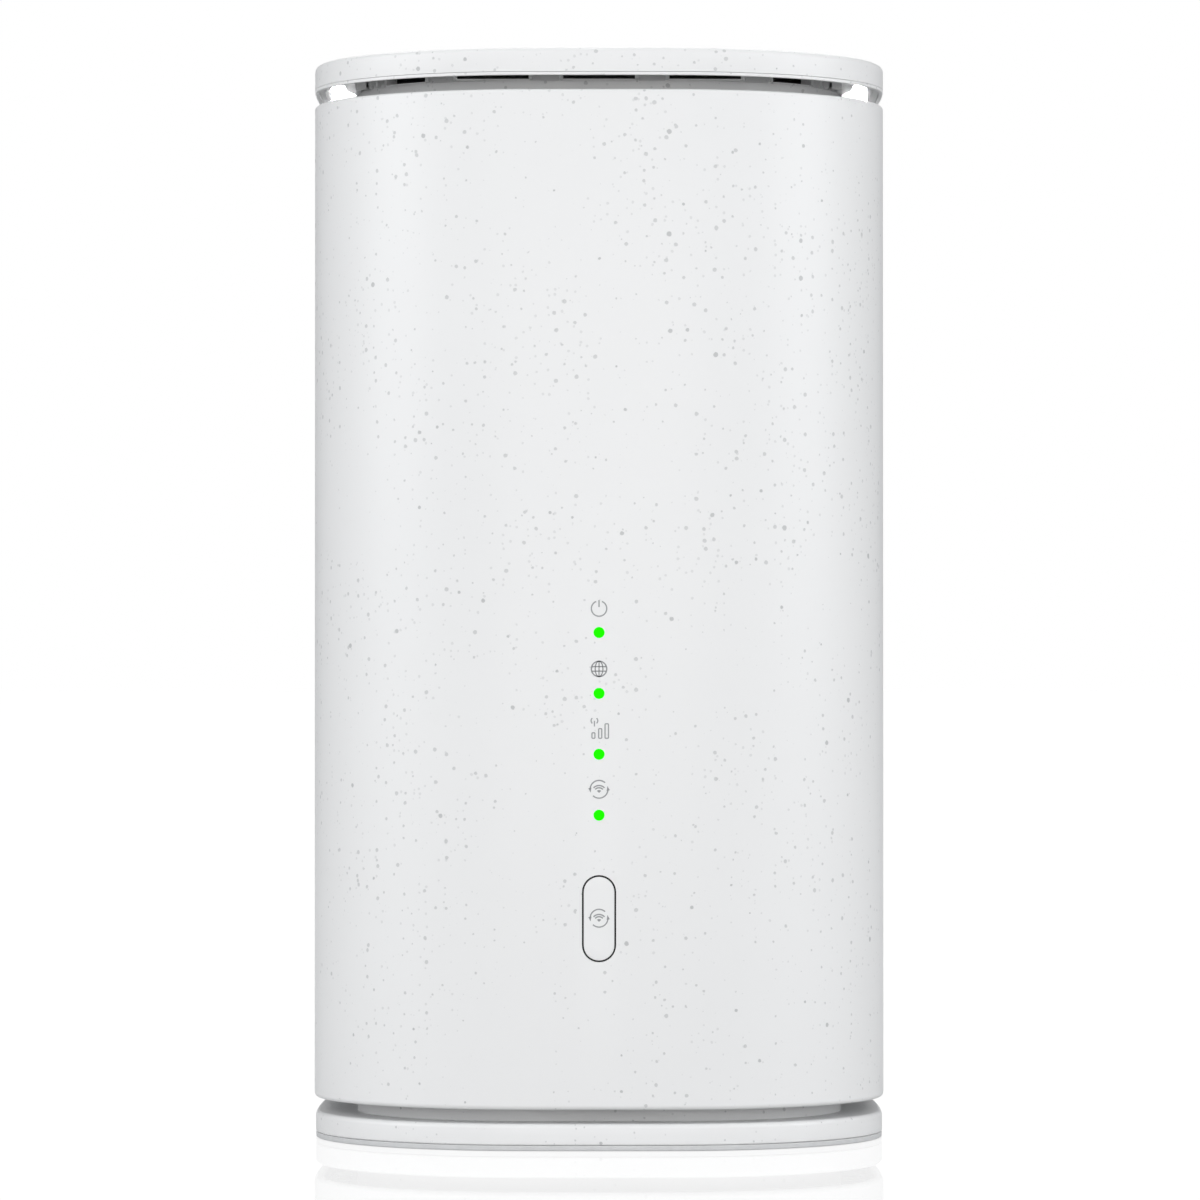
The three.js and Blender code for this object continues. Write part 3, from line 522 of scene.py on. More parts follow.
def lid():
    """The cover, flat on top with a rounded edge, with a deep groove just inside its wall and a flare down to
    the neck.
    """
    outer = [
        (LID_MIDDLE, LID_TOP, 0),
        (SKIN, LID_TOP, 1.1),
        (SKIN, LIP_TOP + SEAM / 2, 0.07),
        (LID_WALL, LIP_TOP + SEAM / 2, 0),
        (LID_WALL, GROOVE_CEILING, 0.3),
        (GROOVE_INSET, GROOVE_CEILING, 0.3),
        (GROOVE_INSET, INNER_CEILING, 0.2),
        (FLARE_INSET, FLARE_BOTTOM, 0.12),
        (FLARE_INSET + 0.5, INNER_CEILING, 0),
        (LID_MIDDLE, INNER_CEILING, 0),
    ]
    piece("lid", around_plan(rounded(outer), closed=False), "tower", "white_plastic", ["lid_cover"])


def lip():
    """The trim ring under the lid, an L in section."""
    outer, step = SKIN + LIP_SETBACK, LIP_BOTTOM + LIP_THICKNESS
    section = [
        (outer, LIP_BOTTOM, 0.14),
        (outer, LIP_TOP - SEAM / 2, 0.06),
        (LID_WALL, LIP_TOP - SEAM / 2, 0),
        (LID_WALL, step, 0.05),
        (LIP_INNER_INSET, step, 0.05),
        (LIP_INNER_INSET, LIP_BOTTOM, 0.1),
    ]
    piece("lip", around_plan(rounded(section)), "tower", "white_plastic", ["lid_lip"])


def side_slot(centre):
    """A block through the front wall of the neck, from the sill of a slot up."""
    left, right = centre - SLOT_WIDTH / 2, centre + SLOT_WIDTH / 2
    return block(left, right, -HALF, NECK_CUT - HALF, SLOT_SILL, LID_TOP)


def corner_point(inset, angle, mirror_x, mirror_y):
    """A point of a corner's arc, `angle` degrees away from the front or back."""
    radius = CORNER_RADIUS - inset
    x = CORNER_CENTRE + radius * math.sin(angle * DEGREE)
    y = CORNER_CENTRE + radius * math.cos(angle * DEGREE)
    return Vector((mirror_x * x, mirror_y * y))


def corner_slot(start, end, mirror_x, mirror_y):
    """A sector through the wall of the neck at a corner."""
    steps = 6
    angles = [start + (end - start) * i / steps for i in range(steps + 1)]
    outline = [corner_point(0, angle, mirror_x, mirror_y) for angle in angles]
    outline += [corner_point(NECK_CUT, angle, mirror_x, mirror_y) for angle in reversed(angles)]
    return loft([[Vector((point.x, point.y, z)) for point in outline] for z in (SLOT_SILL, LID_TOP)])


def rib_section():
    """The (inset, z) outline of a rib, which fills the space between the neck's slope and the lid's flare."""
    proud = NECK_INSET - RIB_DEPTH
    slope = (INNER_CEILING - FLARE_BOTTOM) / (FLARE_INSET - GROOVE_INSET)
    back = FLARE_INSET + 0.3
    return [
        (back, SLOPE_BOTTOM + 0.1),
        (NECK_INSET + 0.1, SLOPE_BOTTOM + 0.1),
        (proud, SLOT_SILL),
        (proud, INNER_CEILING - (proud - GROOVE_INSET) * slope - FLARE_GAP),
        (back, FLARE_BOTTOM - 0.2),
    ]


def ledge_section():
    """The (inset, z) outline of the ledge under a slot."""
    proud = NECK_INSET - RIB_DEPTH
    top = SLOT_SILL - LEDGE_DROP
    return [
        (NECK_INSET + 0.5, top - LEDGE_HEIGHT),
        (proud, top - LEDGE_HEIGHT),
        (proud, top),
        (NECK_INSET + 0.5, top),
    ]


def along_side(section, left, right):
    """A section carried along the front wall, which follows the shallow curve of the side."""
    loops = []
    steps = 4
    for i in range(steps + 1):
        x = left + (right - left) * i / steps
        loop = [(SIDE_CENTRE - math.sqrt((SIDE_RADIUS - inset) ** 2 - x**2), z) for inset, z in section]
        loops.append([Vector((x, y, z)) for y, z in loop])
    return loft(loops)


def round_corner(section, start, end, mirror_x, mirror_y):
    """A section carried round a corner from one angle to another."""
    loops = []
    steps = 6
    for i in range(steps + 1):
        angle = start + (end - start) * i / steps
        loop = [(corner_point(inset, angle, mirror_x, mirror_y), z) for inset, z in section]
        loops.append([Vector((point.x, point.y, z)) for point, z in loop])
    return loft(loops)


def vent_neck():
    """The upper neck: a wall cut by the slots, with the ribs and ledges that stand proud of it."""
    wall = around_plan(
        [
            (NECK_INSET, NECK_BOTTOM),
            (NECK_INSET, SLOPE_BOTTOM),
            (FLARE_INSET, FLARE_BOTTOM - FLARE_GAP),
            (NECK_INSET + NECK_WALL, FLARE_BOTTOM - FLARE_GAP),
            (NECK_INSET + NECK_WALL, NECK_BOTTOM),
        ]
    )
    slots = [corner_slot(*CORNER_SLOT, *corner) for corner in CORNERS]
    starts = (CORNER_SLOT[0] - RIB_ANGLE, CORNER_SLOT[1], *(angle - RIB_ANGLE / 2 for angle in CORNER_RIBS))
    rib, ledge = rib_section(), ledge_section()
    proud_parts = [round_corner(ledge, *CORNER_SLOT, *corner) for corner in CORNERS]
    for start in starts:
        proud_parts += [round_corner(rib, start, start + RIB_ANGLE, *corner) for corner in CORNERS]
    for centre in (-SLOT_PITCH, 0, SLOT_PITCH):
        left, right = centre - SLOT_WIDTH / 2, centre + SLOT_WIDTH / 2
        slots += four_ways(lambda: side_slot(centre))
        proud_parts += four_ways(lambda: along_side(rib, left - RIB_WIDTH, left))
        proud_parts += four_ways(lambda: along_side(rib, right, right + RIB_WIDTH))
        proud_parts += four_ways(lambda: along_side(ledge, left - 0.1, right + 0.1))
    mesh = cut(wall, slots)
    for part in proud_parts:
        mesh = combined(mesh, part, "UNION")
    piece("vent_neck", mesh, "tower", "white_plastic", ["vent_ring"])


lid()
lip()
vent_neck()

# ---------------------------------------------------------------- housing

BUTTON_FLANGE = 0.7
BUTTON_WIDTH = across("pairing_button", "x") - 2 * BUTTON_FLANGE
BUTTON_HEIGHT = across("pairing_button", "z") - 2 * BUTTON_FLANGE
BUTTON_Z = middle("pairing_button", "z")
BUTTON_GAP = 0.32
BUTTON_CAP = 0.7
BUTTON_FLANGE_THICKNESS = 1.1
SKIRT_INSET = 0.05
STEM_RADIUS = 1.5
BEZEL = "port_bezel"
BEZEL_GAP = 0.3
FLAP = "antenna_flap"
FLAP_GAP = 0.3


def rectangle_cutter(width, height, radius, z, face, back, flare):
    """A cutter through a wall from its outer `face` to beyond its `back`, flared at the face."""
    out = 1 if face > back else -1
    profile = [(-flare - 1, face + out), (-flare, face), (0, face - out * flare), (0, back - out)]
    return around_rectangle(width, height, radius, profile, z)


def housing():
    """The outer sleeve, open for the lights, the button, the port bay and the antenna flap."""
    section = [
        (SKIN, HOUSING_TOP, 0.6),
        (SKIN, HOUSING_BOTTOM, 0.9),
        (WALL, HOUSING_BOTTOM, 0.5),
        (WALL, HOUSING_TOP, 0.5),
    ]
    shell = around_plan(rounded(section, 8))
    inner = HALF - WALL
    bore = [(LIGHT_RADIUS + LIGHT_GAP, -HALF - 1), (LIGHT_RADIUS + LIGHT_GAP, -inner + 1)]
    holes = [turned(bore, middle("light_pipe_" + light, "z")) for light in LIGHTS]
    width, height = BUTTON_WIDTH + 2 * BUTTON_GAP, BUTTON_HEIGHT + 2 * BUTTON_GAP
    holes.append(rectangle_cutter(width, height, width / 2, BUTTON_Z, -FACE, -inner, 0.06))
    width, height = across(BEZEL, "x") + 2 * BEZEL_GAP, across(BEZEL, "z") + 2 * BEZEL_GAP
    holes.append(rectangle_cutter(width, height, 5.5, middle(BEZEL, "z"), FACE, inner - 2, 0.25))
    width, height = across(FLAP, "x") + 2 * FLAP_GAP, across(FLAP, "z") + 2 * FLAP_GAP
    holes.append(rectangle_cutter(width, height, 0.9, middle(FLAP, "z"), FACE, inner, 0.12))
    piece("housing", cut(shell, holes), "tower", "white_plastic", ["housing_shell"])


housing()

# ---------------------------------------------------------------- base

BASE_INSET = 0.3
BASE_RECESS_INSET = 9.6
BASE_RECESS = 1.4
INTAKE_COUNT = 7
INTAKE_PITCH = 6.5
INTAKE_WIDTH = 2.4
INTAKE_LENGTH = 38
BASE_MIDDLE = BASE_RECESS_INSET + 3  # the base plate closes inside this ring
FOOT_INSET = 0.35
FOOT_INNER_INSET = 9
SCREW_REACH = 30
SCREW_BORE = 1.5
SCREW_RADIUS = 1.25
SCREW_HEAD_RADIUS = 2.6
SCREW_HEAD_HEIGHT = 1.3
RECESS_REACH = 1.5
RECESS_HALF_WIDTH = 0.3
RECESS_DEPTH = 0.6


def base():
    """The base disc with its air intake, the lower neck above it and the soft foot below."""
    recess_top = FOOT_TOP + BASE_RECESS
    section = [
        (BASE_MIDDLE, BASE_TOP, 0),
        (BASE_INSET, BASE_TOP, 0.9),
        (BASE_INSET, FOOT_TOP + 0.05, 0.35),
        (BASE_RECESS_INSET, FOOT_TOP + 0.05, 0.2),
        (BASE_RECESS_INSET, recess_top, 0.2),
        (BASE_MIDDLE, recess_top, 0),
    ]
    plate = around_plan(rounded(section, 8), closed=False)
    holes = []
    outline = rectangle(INTAKE_LENGTH, INTAKE_WIDTH, INTAKE_WIDTH / 2)
    for i in range(INTAKE_COUNT):
        y = (i - (INTAKE_COUNT - 1) / 2) * INTAKE_PITCH
        holes.append(loft([[Vector((p.x, y + p.y, z)) for p in outline] for z in (0, BASE_TOP + 1)]))
    bore = [(SCREW_BORE, 0), (SCREW_BORE, BASE_TOP + 1)]
    holes += [turned_upright(bore, x * SCREW_REACH, y * SCREW_REACH) for x, y in CORNERS]
    piece("base_disc", cut(plate, holes), "tower", "white_plastic", ["base_plate"])

    neck_bottom = low("base_neck", "z")
    neck_top = high("base_neck", "z")
    neck = [
        (NECK_INSET, neck_bottom),
        (NECK_INSET, neck_top),
        (NECK_INSET + NECK_WALL, neck_top),
        (NECK_INSET + NECK_WALL, neck_bottom),
    ]
    piece("lower_neck", around_plan(neck), "tower", "white_plastic", ["base_neck"])

    foot = [
        (FOOT_INSET, 0, 0.25),
        (FOOT_INNER_INSET, 0, 0.25),
        (FOOT_INNER_INSET, FOOT_TOP, 0),
        (FOOT_INSET, FOOT_TOP, 0.12),
    ]
    piece("foot", around_plan(rounded(foot)), "tower", "rubber_pad", ["foot_pad"])


def base_screws():
    """The four screws under the base, with cross recesses."""
    for i in range(4):
        node = f"base_screw_{i + 1}"
        bottom, top = low(node, "z"), high(node, "z")
        x, y = middle(node, "x"), middle(node, "y")
        head = bottom + SCREW_HEAD_HEIGHT
        section = [
            (0.6, bottom, 0),
            (SCREW_HEAD_RADIUS, bottom, 0.5),
            (SCREW_HEAD_RADIUS, head, 0),
            (SCREW_RADIUS, head, 0),
            (SCREW_RADIUS, top, 0.3),
            (0.6, top, 0),
        ]
        screw = turned_upright(rounded(section), x, y)
        arms = []
        for u, v in ((RECESS_REACH, RECESS_HALF_WIDTH), (RECESS_HALF_WIDTH, RECESS_REACH)):
            arms.append(block(x - u, x + u, y - v, y + v, bottom - 1, bottom + RECESS_DEPTH))
        recess = combined(*arms, "UNION")
        piece(f"screw_{i + 1}", cut(screw, [recess]), "tower", "steel", [node])


base()
base_screws()

# ---------------------------------------------------------------- lights, button and prints


def lights():
    """The four light pipes, barely domed, each with a flange behind the wall."""
    for light in LIGHTS:
        node = "light_pipe_" + light
        section = [
            (0.05, -FACE - 0.015),
            (0.5, -FACE - 0.01),
            (0.85, -FACE),
            (LIGHT_RADIUS, -FACE + 0.06),
            (LIGHT_RADIUS, FLANGE_FRONT),
            (LIGHT_FLANGE_RADIUS, FLANGE_FRONT),
            (LIGHT_FLANGE_RADIUS, LIGHT_FLANGE_BACK),
            (LIGHT_RADIUS, LIGHT_FLANGE_BACK),
            (LIGHT_RADIUS, high(node, "y")),
        ]
        piece(f"light_{light}", turned(section, middle(node, "z")), "tower", "green_light", [node])


def button():
    """The white cap, and behind it the dark skirt and stem that stop light from showing round it."""
    cap_back = -FACE + BUTTON_CAP
    skirt_front = cap_back + 0.02
    flange_back = FLANGE_FRONT + BUTTON_FLANGE_THICKNESS
    stem = STEM_RADIUS
    cap = [(stem, -FACE, 0), (0, -FACE, 0.2), (0, cap_back, 0.05), (stem, cap_back, 0)]
    skirt = [
        (stem, skirt_front, 0),
        (SKIRT_INSET, skirt_front, 0.05),
        (SKIRT_INSET, FLANGE_FRONT, 0),
        (-BUTTON_FLANGE, FLANGE_FRONT, 0),
        (-BUTTON_FLANGE, flange_back, 0.2),
        (stem, flange_back, 0),
    ]
    radius = BUTTON_WIDTH / 2 - 0.01
    mesh = around_rectangle(BUTTON_WIDTH, BUTTON_HEIGHT, radius, rounded(cap), BUTTON_Z)
    piece("button", mesh, "pairing_button", "white_plastic", ["pairing_button"], plain_white)
    mesh = around_rectangle(BUTTON_WIDTH, BUTTON_HEIGHT, radius, rounded(skirt), BUTTON_Z)
    rod = turned([(stem, flange_back - 0.1), (stem, high("pairing_button", "y"))], BUTTON_Z)
    piece("button_skirt", combined(mesh, rod, "UNION"), "pairing_button", "dark_plastic")


def line(path, width, closed=False, face=-FACE):
    """A printed line along a path, a little proud of the face it is printed on."""
    loops = []
    out = -1 if face < 0 else 1
    for i, here in enumerate(path):
        before = path[i - 1] if closed or i else here
        after = path[(i + 1) % len(path)] if closed or i + 1 < len(path) else here
        along = (after - before).normalized()
        if before != here and after != here:
            turn = (here - before).normalized().dot(along)
        else:
            turn = 1
        across_line = Vector((-along.y, along.x)) * width / 2 / max(turn, 0.5)
        left, right = here + across_line, here - across_line
        buried = face - out * PRINT_DEPTH / 2
        proud = face + out * PRINT_DEPTH
        loops.append(
            [
                Vector((left.x, buried, left.y)),
                Vector((right.x, buried, right.y)),
                Vector((right.x, proud, right.y)),
                Vector((left.x, proud, left.y)),
            ]
        )
    return loft(loops, closed)


def bend(x, z, radius, start, end, steps=40, squash=1):
    """An arc as a path, its width squashed."""
    points = []
    for i in range(steps + 1):
        angle = (start + (end - start) * i / steps) * DEGREE
        points.append(Vector((x + squash * radius * math.cos(angle), z + radius * math.sin(angle))))
    return points


def straight(x0, z0, x1, z1):
    return [Vector((x0, z0)), Vector((x1, z1))]


def power_icon(z, size=1.0, face=-FACE, stroke=STROKE):
    ring = line(bend(0, z, ICON_RADIUS * size, 112, 428), stroke, face=face)
    bar = line(straight(0, z + 0.28 * size, 0, z + 1.55 * size), stroke, face=face)
    return [ring, bar]


def globe_icon(z):
    radius, thin = ICON_RADIUS, STROKE * 0.85
    parts = [line(bend(0, z, radius, 0, 360)[:-1], STROKE, closed=True)]
    parts.append(line(bend(0, z, radius, 0, 360, squash=0.5)[:-1], thin, closed=True))
    parts.append(line(straight(0, z - radius, 0, z + radius), thin))
    for height in (-0.42, 0.42):
        reach = math.sqrt(radius**2 - height**2)
        parts.append(line(straight(-reach, z + height, reach, z + height), thin))
    return parts


def signal_icon(bottom):
    """Three outlined bars that rise to the right, with a small aerial beside them."""
    parts = []
    stroke = STROKE * 0.9
    for x0, x1, height in ((-1.42, -0.65, 1.25), (-0.18, 0.61, 2.0), (1.0, 1.85, 2.9)):
        outline = rectangle(x1 - x0 - stroke, height - stroke, 0.16, 3)
        path = [p + Vector(((x0 + x1) / 2, bottom + height / 2)) for p in outline]
        parts.append(line(path, stroke, closed=True))
    mast, tip = -0.85, bottom + 3.35
    parts.append(line(straight(mast, bottom + 2.3, mast, tip), stroke))
    for side in (0, 180):
        parts.append(line(bend(mast, tip, 0.62, side - 50, side + 50, 12), stroke))
    return parts


def mesh_icon(z):
    """A fan of waves in a ring of two arrows that chase each other."""
    reach = 1.64
    parts = []
    for turn in (1, -1):
        arrow = [Vector((-reach - 0.34, 0.18)), Vector((-reach + 0.24, 0.3)), Vector((-reach + 0.08, -0.6))]
        head = [Vector((turn * point.x, z + turn * point.y)) for point in arrow]
        parts.append(slab(head, -FACE - PRINT_DEPTH, -FACE + PRINT_DEPTH / 2))
        start = 47 if turn > 0 else 227
        parts.append(line(bend(0, z, reach, start, start + 128), STROKE))
    root = z - 0.69
    for radius in (1.38, 0.97):
        parts.append(line(bend(0, root, radius, 43, 137, 16), STROKE * 1.05))
    sector = [Vector((0, root))] + bend(0, root, 0.55, 45, 135, 8)
    parts.append(slab(sector, -FACE - PRINT_DEPTH, -FACE + PRINT_DEPTH / 2))
    return parts


def prints():
    """The icons, each a little above its light, and those on the two larger buttons."""
    at = {light: middle("light_pipe_" + light, "z") + ICON_RISE[light] for light in LIGHTS}
    rear_face = high("power_button", "y") - SKIN
    rear_icon = power_icon(middle("power_button", "z"), 1.4, rear_face, BACK_STROKE)
    icons = {
        "icon_power": (power_icon(at["power"]), "tower"),
        "icon_internet": (globe_icon(at["internet"]), "tower"),
        "icon_signal": (signal_icon(at["signal"]), "tower"),
        "icon_mesh": (mesh_icon(at["wifi"]), "tower"),
        "icon_button": (mesh_icon(BUTTON_Z + 0.1), "pairing_button"),
        "icon_back_power": (rear_icon, "power_button"),
    }
    for name, (parts, body) in icons.items():
        piece(name, together(parts), body, "grey_plastic", surface=ink)


lights()
button()

# ---------------------------------------------------------------- port bay

PANEL_FACE = high("port_panel", "y")
PANEL_BACK = low("port_panel", "y")
PORT_GAP = 0.3
BEZEL_WALL = 1.2
POWER_BUTTON_SIZE = 8
CARD_SLOT = (14.8, 1.4)
SOCKET_FLOOR = 3.5
SOCKET_DEPTH = 12.4
PLUG = (12, 8.4)
LATCH = (6.4, 2.6)
LATCH_STEP = (3.4, 1.1)
REAR_FLANGE_FRONT = PANEL_BACK - 0.3
REAR_FLANGE_BACK = 42.2
RESET_COLLAR_BACK = 42
CONTACTS = 8
CONTACT_PITCH = 1.02


def port_bay():
    """The bay's frame, and the panel with an opening for every port."""
    width, height, z = across(BEZEL, "x"), across(BEZEL, "z"), middle(BEZEL, "z")
    root, mouth = low(BEZEL, "y"), high(BEZEL, "y")
    section = [(0, root, 0), (0, mouth, 0.35), (BEZEL_WALL, mouth, 0.45), (BEZEL_WALL, root, 0)]
    bezel = around_rectangle(width, height, 5.2, rounded(section), z, closed=True)
    piece("bay_frame", bezel, "tower", "white_plastic", [BEZEL])

    panel = around_rectangle(
        across("port_panel", "x"),
        across("port_panel", "z"),
        6.6,
        [(0, PANEL_BACK), (0, PANEL_FACE)],
        middle("port_panel", "z"),
    )
    holes = []
    for node in ("network_jack_1", "network_jack_2", "dc_jack"):
        holes.append(port_hole(across(node, "x"), across(node, "z"), 0.6, middle(node, "z")))
    holes.append(port_hole(POWER_BUTTON_SIZE, POWER_BUTTON_SIZE, 1.5, middle("power_button", "z")))
    holes.append(port_hole(*CARD_SLOT, 0.4, middle("sim_tray", "z")))
    reset = [(1.5, PANEL_FACE + 1), (1.35, PANEL_FACE), (1.1, PANEL_FACE - 0.3), (1.1, PANEL_BACK - 1)]
    holes.append(turned(reset, middle("reset_plunger", "z")))
    piece("bay_panel", cut(panel, holes), "tower", "white_plastic", ["port_panel"])


def port_hole(width, height, radius, z):
    wide, tall = width + 2 * PORT_GAP, height + 2 * PORT_GAP
    return rectangle_cutter(wide, tall, radius, z, PANEL_FACE, PANEL_BACK, 0.2)


def network_socket(index):
    """A socket with room for a plug and its latch, and its eight sprung contacts."""
    node = f"network_jack_{index}"
    width, height = across(node, "x"), across(node, "z")
    back, face = low(node, "y"), high(node, "y")
    z = middle(node, "z")
    section = rounded([(1, back, 0), (0, back, 0.2), (0, face, 0.25), (1, face, 0)])
    body = around_rectangle(width, height, 0.5, section, z)
    floor = z - height / 2 + SOCKET_FLOOR
    depth = face - SOCKET_DEPTH
    plug = rectangle_cutter(*PLUG, 0.3, floor + PLUG[1] / 2, face, depth, 0.25)
    latch = rectangle_cutter(*LATCH, 0.2, floor - 1, face, depth, 0.15)
    step = rectangle_cutter(*LATCH_STEP, 0.15, floor - 2.5, face, depth, 0.1)
    body = cut(cut(cut(body, [plug]), [latch]), [step])
    piece(f"socket_{index}", body, "tower", "dark_plastic", [node])

    top = floor + 8.2
    path = [(depth + 1.2, top), (depth + 1.7, top - 0.5)]
    path += [(face - 3.2, top - 2.5), (face - 2.4, top - 2.4), (face - 1.9, top - 1.8)]
    places = [(i - (CONTACTS - 1) / 2) * CONTACT_PITCH for i in range(CONTACTS)]
    wires = [wire(x, path, 0.42, 0.26) for x in places]
    piece(f"socket_contacts_{index}", together(wires), "tower", "gold_contact")


def wire(x, path, width, thickness):
    """A flat wire that bends in a plane x mm off the middle, along (y, z) points."""
    loops = []
    for i, (y, z) in enumerate(path):
        before = Vector(path[max(i - 1, 0)])
        after = Vector(path[min(i + 1, len(path) - 1)])
        along = (after - before).normalized()
        normal = Vector((-along.y, along.x)) * thickness / 2
        low_edge, high_edge = Vector((y, z)) - normal, Vector((y, z)) + normal
        loops.append(
            [
                Vector((x - width / 2, low_edge.x, low_edge.y)),
                Vector((x + width / 2, low_edge.x, low_edge.y)),
                Vector((x + width / 2, high_edge.x, high_edge.y)),
                Vector((x - width / 2, high_edge.x, high_edge.y)),
            ]
        )
    return loft(loops)


def power_socket():
    """The round power inlet and the pin at its centre."""
    node = "dc_jack"
    size = across(node, "x")
    back, face, z = low(node, "y"), high(node, "y"), middle(node, "z")
    section = rounded([(1, back, 0), (0, back, 0.2), (0, face, 0.3), (1, face, 0)])
    body = around_rectangle(size, size, 0.6, section, z)
    bore = turned([(3.6, face + 0.3), (3.5, face), (3.2, face - 0.35), (3.2, face - 10)], z)
    piece("power_socket", cut(body, [bore]), "tower", "dark_plastic", [node])
    pin = [(0.05, face - 0.8), (0.5, face - 0.85), (0.85, face - 1.1), (1, face - 1.5), (1, face - 10.2)]
    piece("power_socket_pin", turned(pin, z), "tower", "steel")


def rear_buttons():
    """The power button's cap and the pin of the reset switch, each held by a flange behind the panel."""
    z = middle("power_button", "z")
    face, inner = high("power_button", "y") - SKIN, low("power_button", "y")
    section = [
        (1.5, inner, 0),
        (0, inner, 0.2),
        (0, REAR_FLANGE_BACK, 0),
        (-1, REAR_FLANGE_BACK, 0),
        (-1, REAR_FLANGE_FRONT, 0),
        (0, REAR_FLANGE_FRONT, 0),
        (0, face, 0.55),
        (1.5, face, 0),
    ]
    cap = around_rectangle(POWER_BUTTON_SIZE, POWER_BUTTON_SIZE, 1.2, rounded(section), z)
    piece("rear_power_button", cap, "power_button", "grey_plastic", ["power_button"])

    z = middle("reset_plunger", "z")
    tip, root = high("reset_plunger", "y"), low("reset_plunger", "y")
    rod = [(0.3, tip), (0.75, tip - 0.05), (0.9, tip - 0.25), (0.9, REAR_FLANGE_FRONT)]
    rod += [(2, REAR_FLANGE_FRONT), (2, RESET_COLLAR_BACK), (0.9, RESET_COLLAR_BACK), (0.9, root)]
    piece("reset_pin", turned(rod, z), "reset_plunger", "dark_plastic", ["reset_plunger"])


port_bay()
network_socket(1)
network_socket(2)
power_socket()
rear_buttons()
softened("sim_tray", "card_tray", "sim_tray", "grey_plastic", 0.18)
softened("antenna_flap", "flap", "antenna_flap", "white_plastic", 0.25)
prints()

# ---------------------------------------------------------------- floor, light and camera

CAMERA_PLACE = (0, -1.236, 0.0884)
CAMERA_PITCH = 0.0113
CAMERA_LENS = 191.9
CAMERA_SHIFT = 0.0008
CAMERA_SENSOR = 36
CAMERA_REACH = 100

ROOM_BRIGHTNESS = (0.725, 0.11)  # from the front and from behind
ROOM_COLOUR = (0.985, 0.992, 1.0, 1)
FLOOR_REACH = 30
FLOOR_HEIGHT = -0.00002
FLOOR_COLOUR = (0.6, 0.6, 0.6)  # as it lights the object
FLOOR_MATT = (0.05, 0.05, 0.05, 1)  # these three are for the camera alone
FLOOR_GLOW = (0.785, 0.785, 0.785, 1)
FLOOR_MIRROR = (0.2, 0.2, 0.2, 1)
STRIPS = (((0.7, -1.5, 0.8), 3.45), ((1.6, -0.43, 0.7), 10.6))  # and their mirror images
STRIP_COLOUR = (0.965, 0.983, 1.0)
STRIP_SIZE = (1.2, 1.2)
STRIP_AIM = (0, 0, 0.1)
FRONT_PLACE = (0, -2.4, 0.2)
FRONT_AIM = (0, 0, 0.15)
FRONT_SIZE = (1.2, 0.5)
FRONT_POWER = 6.45
FRONT_COLOUR = (1.0, 0.98, 0.96)
BACK_PLACE = (0, 1.5, 1.7)
BACK_AIM = (0, 0, 0.1)
BACK_SIZE = (1.6, 1.2)
BACK_POWER = 14.5
GAP_LIGHT = (50.6, 14, 201.2)  # in mm: a tiny lamp inside the lid's groove, on each side
GAP_AIM = (49.4, 30, 201.2)
GAP_LIGHT_SIZE = (2.4, 3)
GAP_POWER = 0.01


def floor():
    """A matt white floor, which to the camera glows and mirrors what stands on it faintly."""
    recipe = Recipe("studio_floor", FLOOR_COLOUR, 0.9, Specular_IOR_Level=0.0)
    matt = recipe.add("BsdfDiffuse", Color=FLOOR_MATT)
    glow = recipe.add("Emission", Color=FLOOR_GLOW)
    mirror = recipe.add("BsdfGlossy", Color=FLOOR_MIRROR, Roughness=0.0)
    surface = matt.outputs[0]
    for layer in (glow, mirror):
        both = recipe.add("AddShader")
        recipe.feed(both.inputs[0], surface)
        recipe.feed(both.inputs[1], layer.outputs[0])
        surface = both.outputs[0]
    mix = recipe.add("MixShader", Fac=recipe.add("LightPath").outputs["Is Camera Ray"])
    recipe.feed(mix.inputs[1], recipe.shader.outputs[0])
    recipe.feed(mix.inputs[2], surface)
    recipe.feed(recipe.tree.nodes["Material Output"].inputs["Surface"], mix.outputs[0])
    mesh = bpy.data.meshes.new("studio_floor")
    corners = [(FLOOR_REACH * x, FLOOR_REACH * y, FLOOR_HEIGHT) for x, y in CORNERS]
    mesh.from_pydata(corners, [], [range(4)])
    mesh.materials.append(recipe.material)
    sheet = bpy.data.objects.new("studio_floor", mesh)
    bpy.context.scene.collection.objects.link(sheet)


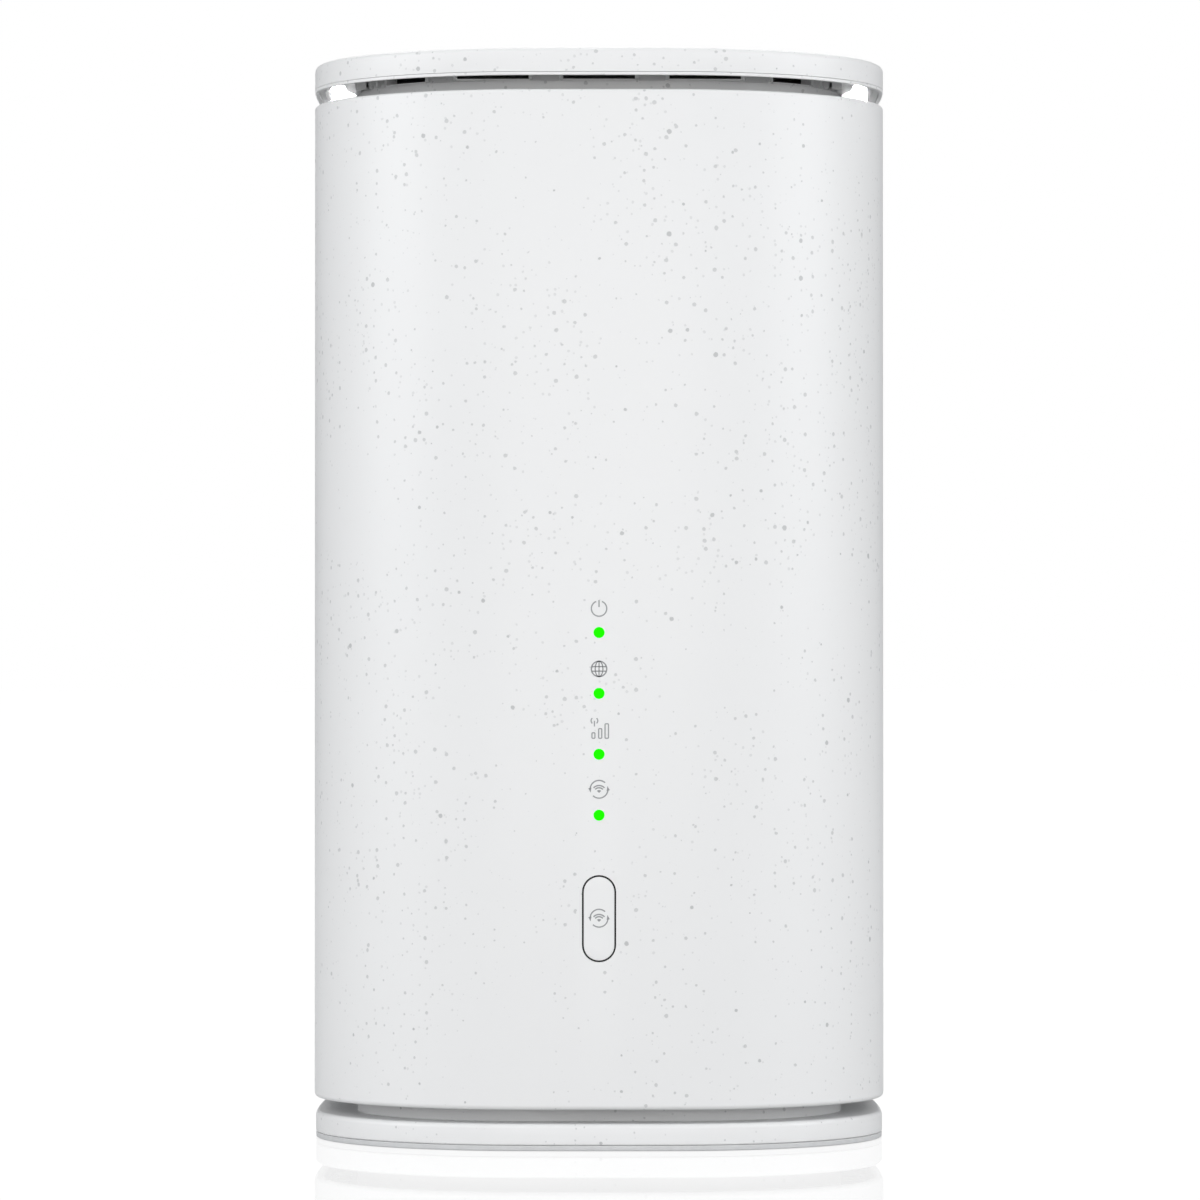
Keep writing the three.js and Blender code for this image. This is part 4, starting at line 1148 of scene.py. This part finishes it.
def studio_world():
    """White to the eye and in the floor; to the object, a room that is brighter in front than behind."""
    world = bpy.data.worlds.new("studio")
    bpy.context.scene.world = world
    world.use_nodes = True
    nodes, links = world.node_tree.nodes, world.node_tree.links
    direction = nodes.new("ShaderNodeSeparateXYZ")
    links.new(nodes.new("ShaderNodeTexCoord").outputs["Generated"], direction.inputs[0])
    fade = nodes.new("ShaderNodeMapRange")
    for socket, value in zip(list(fade.inputs)[1:5], (-1, 1, *ROOM_BRIGHTNESS)):
        socket.default_value = value
    links.new(direction.outputs["Y"], fade.inputs["Value"])
    room = nodes["Background"]
    room.inputs["Color"].default_value = ROOM_COLOUR
    links.new(fade.outputs[0], room.inputs["Strength"])
    backdrop = nodes.new("ShaderNodeBackground")
    backdrop.inputs["Color"].default_value = (1, 1, 1, 1)
    seen = nodes.new("ShaderNodeLightPath")
    either = nodes.new("ShaderNodeMath")
    either.operation = "MAXIMUM"
    links.new(seen.outputs["Is Camera Ray"], either.inputs[0])
    links.new(seen.outputs["Is Singular Ray"], either.inputs[1])
    mix = nodes.new("ShaderNodeMixShader")
    links.new(either.outputs[0], mix.inputs["Fac"])
    links.new(room.outputs[0], mix.inputs[1])
    links.new(backdrop.outputs[0], mix.inputs[2])
    links.new(mix.outputs[0], nodes["World Output"].inputs["Surface"])


def soft_light(name, place, aim, size, power, colour=(1, 1, 1)):
    data = bpy.data.lights.new(name, "AREA")
    data.color = colour
    data.shape = "RECTANGLE"
    data.size, data.size_y = size
    data.energy = power
    lamp = bpy.data.objects.new(name, data)
    lamp.location = place
    lamp.rotation_euler = (Vector(aim) - Vector(place)).to_track_quat("-Z", "Y").to_euler()
    lamp.visible_camera = False
    bpy.context.scene.collection.objects.link(lamp)


def camera():
    data = bpy.data.cameras.new("camera")
    data.lens = CAMERA_LENS
    data.sensor_width = CAMERA_SENSOR
    data.shift_x = CAMERA_SHIFT
    data.clip_end = CAMERA_REACH
    viewpoint = bpy.data.objects.new("camera", data)
    viewpoint.location = CAMERA_PLACE
    viewpoint.rotation_euler = (math.pi / 2 + CAMERA_PITCH, 0, 0)
    bpy.context.scene.collection.objects.link(viewpoint)
    bpy.context.scene.camera = viewpoint


floor()
studio_world()
soft_light("front", FRONT_PLACE, FRONT_AIM, FRONT_SIZE, FRONT_POWER, FRONT_COLOUR)
soft_light("back", BACK_PLACE, BACK_AIM, BACK_SIZE, BACK_POWER)
for side in (-1, 1):
    mirror = Matrix.Diagonal((side, 1, 1))
    for strip_place, power in STRIPS:
        soft_light("strip", mirror @ Vector(strip_place), STRIP_AIM, STRIP_SIZE, power, STRIP_COLOUR)
    gap_place, gap_aim = mirror @ Vector(GAP_LIGHT) * MM, mirror @ Vector(GAP_AIM) * MM
    soft_light("gap_light", gap_place, gap_aim, [length * MM for length in GAP_LIGHT_SIZE], GAP_POWER)
camera()
bpy.context.scene.view_settings.view_transform = "Standard"
